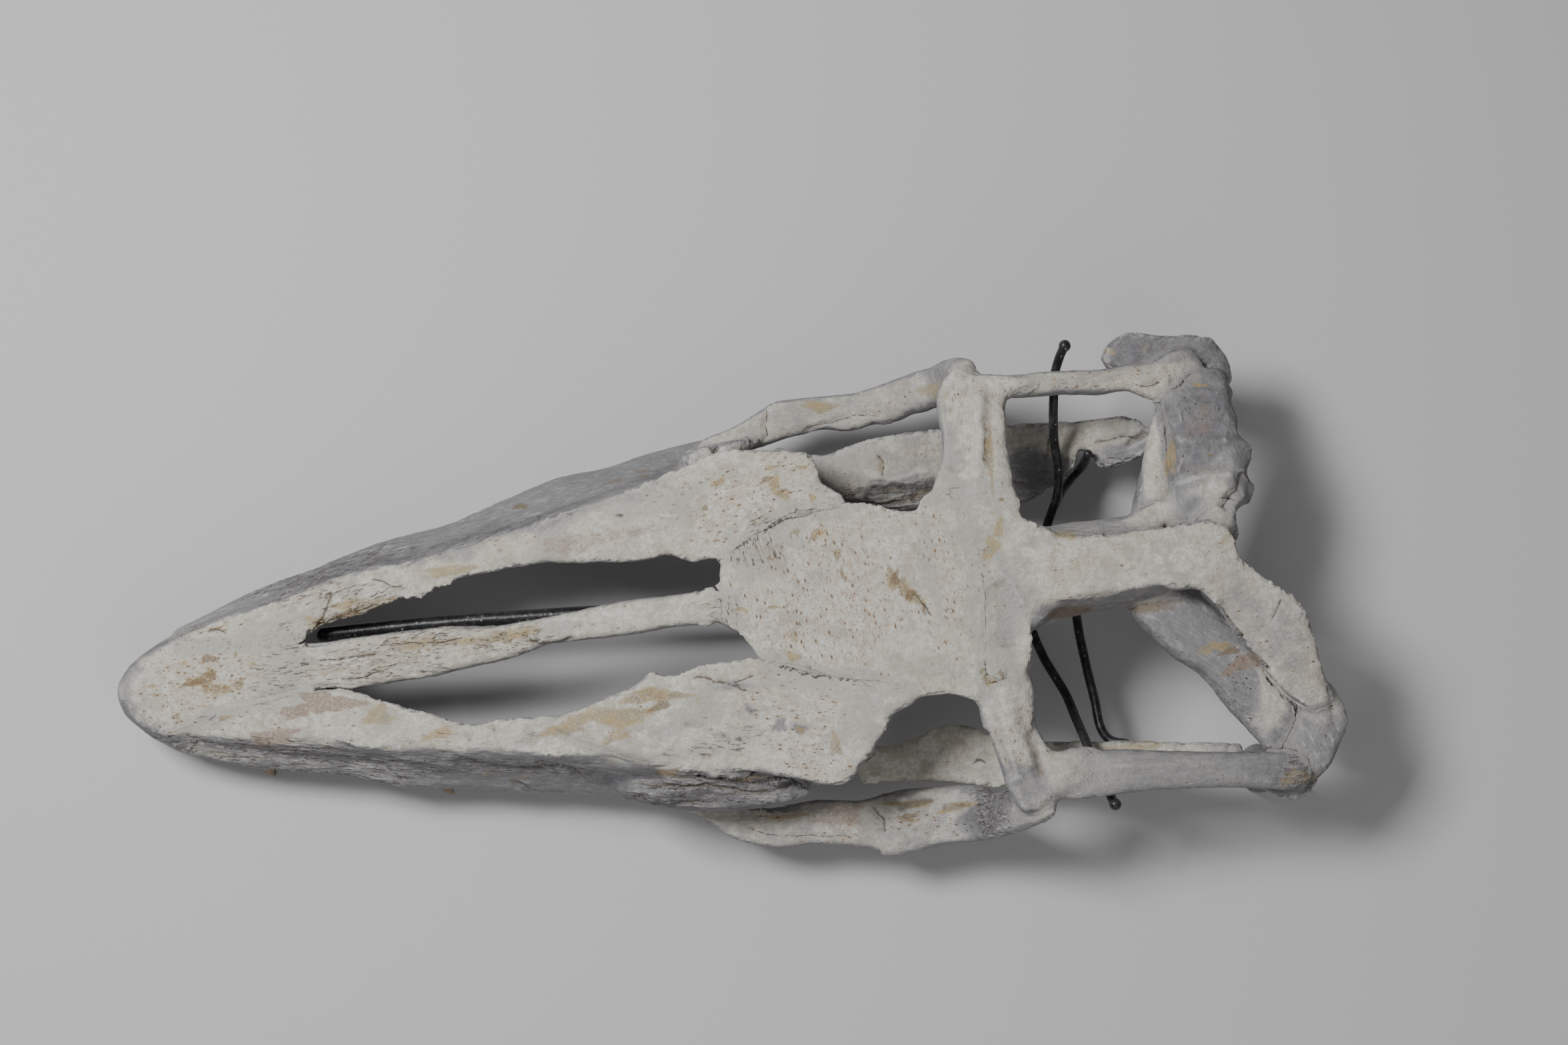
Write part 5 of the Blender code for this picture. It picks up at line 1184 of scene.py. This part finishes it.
@dataclass
class Skinner:
    """Turns the faceted solids of the frame into smooth, dense skins."""

    rounds: int = 2             # times that the control points are corrected
    passes: int = 2             # smoothing passes over a skin
    swell: float = 0.25         # how far a skin stands off the solid, to close the sutures
    closing: float = 2.0        # width of the filler at the joints
    reach: float = 3.0          # farthest that the filler moves a point
    near: float = 1.8           # gap between two bones that is filled all the way
    far: float = 3.4            # gap that is no longer filled
    lip: float = 1.9            # depth down a joint's wall that is drawn up to close it
    tinge: float = 14.0         # how far one bone's greyness runs into the next

    def rounded(self, node: bpy.types.Object, name: str) -> bpy.types.Object:
        """Copy a solid and round its facets off, through the same corner points.

        Args:
            node: the solid from the frame.
            name: name of the new object.

        Returns:
            The rounded copy.
        """
        mesh = bmesh.new()
        mesh.from_mesh(node.data)
        mesh.transform(node.matrix_world)
        bmesh.ops.remove_doubles(mesh, verts=mesh.verts, dist=0.01 * MM)
        bmesh.ops.recalc_face_normals(mesh, faces=mesh.faces)
        data = bpy.data.meshes.new(name)
        mesh.to_mesh(data)
        mesh.free()
        obj = new_object(name, data)
        count = len(data.vertices)
        target = np.empty(count * 3)
        data.vertices.foreach_get("co", target)
        control = target.copy()
        levels = obj.modifiers.new("Round", "SUBSURF")
        levels.levels = levels.render_levels = 2
        for _ in range(self.rounds):
            graph = bpy.context.evaluated_depsgraph_get()
            made = obj.evaluated_get(graph).data
            limit = np.empty(len(made.vertices) * 3)
            made.vertices.foreach_get("co", limit)
            control += 0.8 * (target - limit[:count * 3])
            data.vertices.foreach_set("co", control)
            data.update()
        settle(obj)
        return obj

    def skin(self, obj: bpy.types.Object, cell: float, passes: int, swell: float) -> None:
        """Give an object one even, closed skin.

        Args:
            obj: the object, changed in place.
            cell: the grain of the skin in mm.
            passes: smoothing passes.
            swell: how far the skin stands off, in mm.
        """
        remesh = obj.modifiers.new("Skin", "REMESH")
        remesh.mode = "VOXEL"
        remesh.voxel_size = cell * MM
        soften = obj.modifiers.new("Soften", "SMOOTH")
        soften.factor = 0.5
        soften.iterations = passes
        grow = obj.modifiers.new("Swell", "DISPLACE")
        grow.mid_level = 0.0
        grow.strength = swell * MM
        settle(obj)

    def joined(self, bones: Iterable[bpy.types.Object]) -> BVHTree:
        """One skin over all the bones, with the joints between them filled.

        Args:
            bones: the rounded bones.

        Returns:
            A search tree over that skin.
        """
        whole = bmesh.new()
        for bone in bones:
            whole.from_mesh(bone.data)
        data = bpy.data.meshes.new("joined")
        whole.to_mesh(data)
        whole.free()
        obj = new_object("joined", data)
        grow = obj.modifiers.new("Grow", "DISPLACE")
        grow.mid_level = 0.0
        grow.strength = self.closing * MM
        self.skin(obj, 1.5, 5, self.swell - self.closing)
        soften = obj.modifiers.new("Soften", "SMOOTH")
        soften.factor = 0.5
        soften.iterations = 5
        settle(obj)
        tree = BVHTree.FromObject(obj, bpy.context.evaluated_depsgraph_get())
        bpy.data.objects.remove(obj, do_unlink=True)
        return tree

    def fill_joints(self, obj: bpy.types.Object, grey: float, others: BVHTree,
                    greys: Sequence[float], whole: BVHTree) -> tuple[np.ndarray, np.ndarray]:
        """Draw a bone's skin out to the joined skin wherever another bone is close.

        Args:
            obj: the bone, changed in place.
            grey: how grey it is.
            others: search tree over the other bones.
            greys: how grey the bone of each face in that tree is.
            whole: search tree over the joined skin.

        Returns:
            How grey each point is, which runs from bone to bone without a step, and how close
            it is to a joint.
        """
        mesh = obj.data
        points, normals = read_points(mesh)
        places = to_frame(points)
        tone = np.full(len(points), grey)
        gaps = np.full(len(points), self.tinge)
        for index, (place, normal) in enumerate(zip(places, normals)):
            spot = Vector(place)
            near = others.find_nearest(spot, self.tinge * MM)
            if near[0] is None:
                continue
            gap = near[3] / MM
            gaps[index] = gap
            tone[index] += 0.5 * (1.0 - gap / self.tinge) * (greys[near[2]] - grey)
            if gap > self.far:
                continue
            hit = whole.find_nearest(spot, self.reach * MM)
            if hit[0] is None:
                continue
            if hit[1].dot(Vector(normal)) < 0.15 and hit[3] > self.lip * MM:
                continue
            share = min(1.0, (self.far - gap) / (self.far - self.near))
            places[index] = spot.lerp(hit[0], share)
        write_points(mesh, to_skull(places))
        return tone, 1.0 - smoothstep(1.5, 6.5, gaps)


@dataclass
class Skull:
    """All the bones of the skull."""

    skinner: Skinner = field(default_factory=Skinner)
    tooth_line: float = 21.0        # height at which the teeth's crowns end, in mm
    tooth_back: float = 330.0       # how far back the teeth run, in mm

    def build(self, nodes: dict[str, bpy.types.Object], groups: dict[str, bpy.types.NodeTree]) -> None:
        """Make and dress every bone.

        Args:
            nodes: the frame's solids by name.
            groups: the shared effects by name.
        """
        finishes = {"fossil_bone": BoneFinish("fossil_bone").build(groups),
                    SIDE_SLOT: BoneFinish(SIDE_SLOT, greyness=0.1).build(groups)}
        weather = Weather()
        rounded = {bone.name: self.skinner.rounded(nodes[bone.name], bone.name + "_bone")
                   for bone in BONES}
        for name, obj in rounded.items():
            self.set_outline(obj, name, False)
        self.stick_crumbs(rounded)
        whole = self.skinner.joined(rounded.values())
        rounded_copies = {name: obj.data.copy() for name, obj in rounded.items()}
        coarse = 1.0
        for bone in BONES:
            obj = rounded[bone.name]
            tree, greys = self.neighbours(bone, rounded_copies)
            self.skinner.skin(obj, bone.cell * coarse, self.skinner.passes, self.skinner.swell)
            self.set_outline(obj, bone.name, True)
            self.wear(obj, bone.name, False)
            tone, joint = self.skinner.fill_joints(obj, bone.grey, tree, greys, whole)
            self.wear(obj, bone.name, True)
            write_mask(obj.data, "joint", joint)
            self.detail(obj, bone, tone, joint)
            weather.age(obj, bone.direction(), finishes[bone.slot])
            self.close(obj)
            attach(obj, "root")
            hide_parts(bone.name)
            LOG.info("%s: %d points", obj.name, len(obj.data.vertices))

    def wear(self, obj: bpy.types.Object, name: str, late: bool) -> None:
        """Wear a bone where it is worn, before its joints are filled or after."""
        for melt in MELTS:
            if melt.bone == name and melt.late == late:
                melt.wear(obj.data)

    def neighbours(self, bone: Bone, meshes: dict[str, bpy.types.Mesh]) -> tuple[BVHTree, list[float]]:
        """Search tree over every bone but one.

        Args:
            bone: the bone that is left out.
            meshes: the rounded bones by name.

        Returns:
            The tree, and how grey the bone of each of its faces is.
        """
        others = bmesh.new()
        greys: list[float] = []
        for other in BONES:
            if other is not bone:
                others.from_mesh(meshes[other.name])
                greys += [other.grey] * (len(others.faces) - len(greys))
        tree = BVHTree.FromBMesh(others)
        others.free()
        return tree, greys

    def set_outline(self, obj: bpy.types.Object, name: str, fine: bool) -> None:
        """Push a bone's outline to its place.

        Args:
            obj: the bone, changed in place.
            name: its name.
            fine: whether the small pushes are made, or else the large ones.
        """
        points, _ = read_points(obj.data)
        for nudge in NUDGES:
            if nudge.bone in ("", name) and nudge.fine() == fine:
                nudge.push(points)
        write_points(obj.data, points)

    def stick_crumbs(self, bones: dict[str, bpy.types.Object]) -> None:
        """Add each crumb to the bone that it lies nearest to, close enough to hold."""
        graph = bpy.context.evaluated_depsgraph_get()
        trees = {name: BVHTree.FromObject(obj, graph) for name, obj in bones.items()}
        for seed, crumb in enumerate(CRUMBS):
            place = Vector(to_frame(np.array(crumb.place, dtype=float)))
            found = {name: tree.find_nearest(place) for name, tree in trees.items()}
            name = min(found, key=lambda key: found[key][3])
            spot = found[name][0]
            away = place - spot
            if away.length > 0.3 * crumb.size * MM:
                away.length = 0.3 * crumb.size * MM
            lump = bmesh.new()
            lump.from_mesh(bones[name].data)
            made = bmesh.ops.create_icosphere(lump, subdivisions=2, radius=0.5 * crumb.size * MM)
            chance = np.random.default_rng(seed)
            for vertex in made["verts"]:
                vertex.co *= 1.0 + 0.3 * chance.uniform(-1.0, 1.0)
                vertex.co.x *= crumb.length
                vertex.co += spot + away
            lump.to_mesh(bones[name].data)
            lump.free()

    def detail(self, obj: bpy.types.Object, bone: Bone, tone: np.ndarray, joint: np.ndarray) -> None:
        """Carve a bone's cracks and store what its material and its weathering read.

        Args:
            obj: the bone, changed in place.
            bone: how it is skinned and coloured.
            tone: how grey each point is.
            joint: how close each point is to a joint, where no edge is chipped.
        """
        mesh = obj.data
        edge = np.clip(-(hollows(mesh, 12) + 0.12) / 0.5, 0.0, 1.0) * (1.0 - joint)
        surface = Surface(*read_points(mesh))
        for seed, crack in enumerate(CRACKS):
            surface.carve(crack, seed)
        for mark in MARKS:
            surface.paint(mark)
        points, normals = surface.points, surface.normals
        tooth = 1.0 - smoothstep(self.tooth_line - 3.0, self.tooth_line, points[:, 2])
        tooth *= points[:, 0] < self.tooth_back
        foot = 1.0 - smoothstep(0.5, 4.0, points[:, 2])
        # Steep faces grow greyer: their grey-lilac colour and painted shade on faces turned from the
        # light.
        steep = 1.0 - smoothstep(0.35, 0.85, normals[:, 2])
        write_mask(mesh, "greyness", tone + bone.flank * steep)
        write_mask(mesh, "tooth", tooth)
        write_mask(mesh, "calm", np.clip(np.maximum(0.75 * tooth, foot)
                                         + 0.5 * surface.stains[Stain.FILLER], 0.0, 1.0))
        write_mask(mesh, "edge", edge)
        along = mesh.attributes.new("along", "FLOAT_VECTOR", "POINT")
        along.data.foreach_set("vector", np.tile(np.array(bone.direction(), dtype=np.float32),
                                                 len(points)))
        surface.settle(mesh)

    def close(self, obj: bpy.types.Object) -> None:
        """Keep a bone off the floor, shade it smooth and measure its hollows, which its material
        darkens, and its standing edges, which it lightens.
        """
        mesh = obj.data
        points, _ = read_points(mesh)
        points[:, 2] = np.maximum(points[:, 2], 0.0)
        write_points(mesh, points)
        write_mask(mesh, "hollow", hollows(mesh, 10))
        mesh.shade_smooth()


@dataclass
class Armature:
    """The black rod under the palate, and the arms bent up from it. Routes are in skull mm."""

    rod: float = 8.0
    wire: float = 5.0
    bead: float = 1.3           # an arm's end against its wire
    step: float = 2.5           # spacing of the rings along a rod
    sides: int = 20
    backbone: Route = ((117, 19, 50), (177, 18, 50), (258, 14, 50), (340, 8, 49), (430, 5, 47),
                       (545, 2, 46))
    right: Route = ((535, 123, 97), (532, 118, 90), (529, 110, 84), (527, 98, 83), (526, 88, 77),
                    (526, 76, 64), (527, 62, 57), (525, 48, 53), (518, 33, 50), (513, 18, 48),
                    (511, 3, 47))
    left: Route = ((531, -123, 96), (530, -119, 90), (527, -108, 86), (523, -96, 84), (521, -86, 76),
                   (519, -74, 60), (516, -60, 50), (507, -39, 47), (502, -20, 46), (500, 3, 46))
    right_pin: Route = ((544, 68, 58), (544, 67, 46), (542, 64, 35), (535, 58, 31), (528, 50, 36),
                        (524, 44, 49))
    left_prop: Route = ((545, -91, 54), (537, -88, 50), (533, -80, 46), (532, -66, 45),
                        (530, -49, 45), (528, -25, 45), (528, 3, 46))

    def tree(self) -> bpy.types.NodeTree:
        """Build the tree that draws a rod along a route and puts a bead on its first end."""
        graph = Graph(bpy.data.node_groups.new("rod", "GeometryNodeTree"))
        at = graph.sockets({"Geometry": "Geometry", "Radius": "Float", "Sides": "Int",
                            "Step": "Float", "Bead": "Float", "Dent": "Float",
                            "Material": "Material"}, {"Geometry": "Geometry"})
        curve = graph.node("GeometryNodeMeshToCurve")
        graph.feed(curve.inputs[0], at["Geometry"])
        bent = graph.node("GeometryNodeCurveSplineType", spline_type="CATMULL_ROM")
        graph.feed(bent.inputs[0], curve.outputs[0])
        even = graph.node("GeometryNodeResampleCurve", mode="LENGTH")
        graph.feed(even.inputs["Curve"], bent.outputs[0])
        graph.feed(even.inputs["Length"], at["Step"])
        ring = graph.node("GeometryNodeCurvePrimitiveCircle")
        graph.feed(ring.inputs["Resolution"], at["Sides"])
        graph.feed(ring.inputs["Radius"], at["Radius"])
        tube = graph.node("GeometryNodeCurveToMesh")
        graph.feed(tube.inputs["Curve"], even.outputs[0])
        graph.feed(tube.inputs["Profile Curve"], ring.outputs[0])
        tube.inputs["Fill Caps"].default_value = True
        ball = graph.node("GeometryNodeMeshIcoSphere")
        ball.inputs["Subdivisions"].default_value = 3
        graph.feed(ball.inputs["Radius"], at["Bead"])
        end = graph.node("GeometryNodeCurveEndpointSelection")
        end.inputs["Start Size"].default_value = 1
        end.inputs["End Size"].default_value = 1
        beads = graph.node("GeometryNodeInstanceOnPoints")
        graph.feed(beads.inputs["Points"], even.outputs[0])
        graph.feed(beads.inputs["Selection"], end.outputs[0])
        graph.feed(beads.inputs["Instance"], ball.outputs[0])
        both = graph.node("GeometryNodeJoinGeometry")
        graph.feed(both.inputs[0], beads.outputs[0])
        graph.feed(both.inputs[0], tube.outputs[0])
        real = graph.node("GeometryNodeRealizeInstances")
        graph.feed(real.inputs[0], both.outputs[0])
        place = graph.vector("SCALE", graph.node("GeometryNodeInputPosition").outputs[0], 1.0 / MM)
        wave = graph.math("SUBTRACT", graph.noise(place, 0.3, 3.0), 0.5)
        move = graph.node("GeometryNodeSetPosition")
        graph.feed(move.inputs["Geometry"], real.outputs[0])
        graph.feed(move.inputs["Offset"],
                   graph.vector("SCALE", graph.node("GeometryNodeInputNormal").outputs[0],
                                graph.product(wave, at["Dent"])))
        dress = graph.node("GeometryNodeSetMaterial")
        graph.feed(dress.inputs["Geometry"], move.outputs[0])
        graph.feed(dress.inputs["Material"], at["Material"])
        graph.finish(geometry=dress.outputs[0])
        return graph.tree

    def build(self, groups: dict[str, bpy.types.NodeTree]) -> None:
        """Make the armature in place of its solid.

        Args:
            groups: the shared effects by name.
        """
        material = SteelFinish().build(groups)
        tree = self.tree()
        whole = bmesh.new()
        for name in ("backbone", "right", "left", "right_pin", "left_prop"):
            thick = self.rod if name == "backbone" else self.wire
            bead = 0.5 * thick * (self.bead if name in ("right", "left") else 1.0)
            part = self.drawn(name, getattr(self, name), thick, bead, tree, material)
            whole.from_mesh(part.data)
            bpy.data.objects.remove(part, do_unlink=True)
        data = bpy.data.meshes.new("steel_armature_rods")
        whole.to_mesh(data)
        whole.free()
        data.materials.clear()
        data.materials.append(material)
        data.shade_smooth()
        obj = new_object("steel_armature_rods", data)
        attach(obj, "root")
        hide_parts("steel_armature")
        LOG.info("%s: %d points", obj.name, len(data.vertices))

    def drawn(self, name: str, route: Route, thick: float, bead: float, tree: bpy.types.NodeTree,
              material: bpy.types.Material) -> bpy.types.Object:
        """Draw one rod.

        Args:
            name: its name.
            route: the points that it follows.
            thick: its diameter in mm.
            bead: the radius of its ends in mm.
            tree: the node tree.
            material: its material.

        Returns:
            The rod as an object of plain mesh.
        """
        data = bpy.data.meshes.new(name)
        edges = [(index, index + 1) for index in range(len(route) - 1)]
        data.from_pydata(to_frame(np.array(route, dtype=float)).tolist(), edges, [])
        obj = new_object(name, data)
        modifier = obj.modifiers.new("Rod", "NODES")
        modifier.node_group = tree
        set_inputs(modifier, {"Radius": 0.5 * thick * MM, "Sides": self.sides, "Step": self.step * MM,
                              "Bead": bead * MM, "Dent": 0.3 * MM, "Material": material})
        settle(obj)
        return obj


@dataclass(frozen=True)
class Camera:
    """Where the photograph was taken from, and how it was turned."""

    distance: float = 1600.0        # from the lens to the plane of the skull roof, in mm
    grain: float = 0.35             # mm to a pixel of the photograph at that plane
    tilt: float = 6.0               # lean towards the skull's left side, in degrees
    roll: float = 6.67              # turn of the picture, in degrees
    aim: Point = (374.6, 43.3, 122.0)

    def build(self) -> None:
        """Make the camera and look through it."""
        tilt, roll = math.radians(self.tilt), math.radians(self.roll)
        ahead = Vector((0.0, math.sin(tilt), -math.cos(tilt)))
        over = Vector((0.0, math.cos(tilt), math.sin(tilt)))
        back = Vector((1.0, 0.0, 0.0))
        right = back * math.cos(roll) - over * math.sin(roll)
        up = back * math.sin(roll) + over * math.cos(roll)
        turn = Matrix((right, up, -ahead)).transposed().to_4x4()
        turn.translation = Vector(to_frame(np.array(self.aim))) - ahead * self.distance * MM
        data = bpy.data.cameras.new("Camera")
        data.sensor_width = 36.0
        data.lens = 36.0 * self.distance / (2352 * self.grain)
        data.clip_end = 20.0
        camera = bpy.data.objects.new("Camera", data)
        camera.matrix_world = turn
        bpy.context.scene.collection.objects.link(camera)
        bpy.context.scene.camera = camera


@dataclass(frozen=True)
class Studio:
    """Pale floor and soft lights."""

    floor_colour: Point = (0.62, 0.62, 0.63)

    def build(self) -> None:
        """Make the floor, the lights and the world."""
        mesh = bmesh.new()
        bmesh.ops.create_grid(mesh, x_segments=1, y_segments=1, size=6.0)
        data = bpy.data.meshes.new("floor")
        mesh.to_mesh(data)
        mesh.free()
        floor = new_object("floor", data)
        floor.location.z = -0.0005
        material = bpy.data.materials.new("floor")
        material.use_nodes = True
        shader = material.node_tree.nodes["Principled BSDF"]
        shader.inputs["Base Color"].default_value = (*self.floor_colour, 1.0)
        shader.inputs["Roughness"].default_value = 0.9
        data.materials.append(material)
        self.lamp("key", (-0.62, 0.44, 1.5), 0.45, 24.6)
        self.lamp("fill", (0.4, -1.2, 1.3), 1.6, 5.6)
        world = bpy.data.worlds.new("World")
        world.use_nodes = True
        world.node_tree.nodes["Background"].inputs[0].default_value = (1.0, 1.0, 1.0, 1.0)
        world.node_tree.nodes["Background"].inputs[1].default_value = 0.14
        bpy.context.scene.world = world

    def lamp(self, name: str, place: Point, size: float, power: float) -> None:
        """Hang one square soft light that points at the skull.

        Args:
            name: the light's name.
            place: where it hangs, in metres.
            size: the length of its side, in metres.
            power: its power in watts.
        """
        data = bpy.data.lights.new(name, "AREA")
        data.energy = power
        data.size = size
        lamp = bpy.data.objects.new(name, data)
        lamp.location = place
        aim = Vector((0.0, 0.0, 0.06)) - Vector(place)
        lamp.rotation_euler = aim.to_track_quat("-Z", "Y").to_euler()
        bpy.context.scene.collection.objects.link(lamp)


def main() -> None:
    """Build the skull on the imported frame, and the studio round it."""
    logging.basicConfig(level=logging.INFO, format="%(name)s: %(message)s")
    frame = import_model()
    groups = {"pores": pore_group(), "fibres": fibre_group(), "blotch": blotch_group()}
    Skull().build(frame["nodes"], groups)
    Armature().build(groups)
    Camera().build()
    Studio().build()


if __name__ == "__main__":
    main()
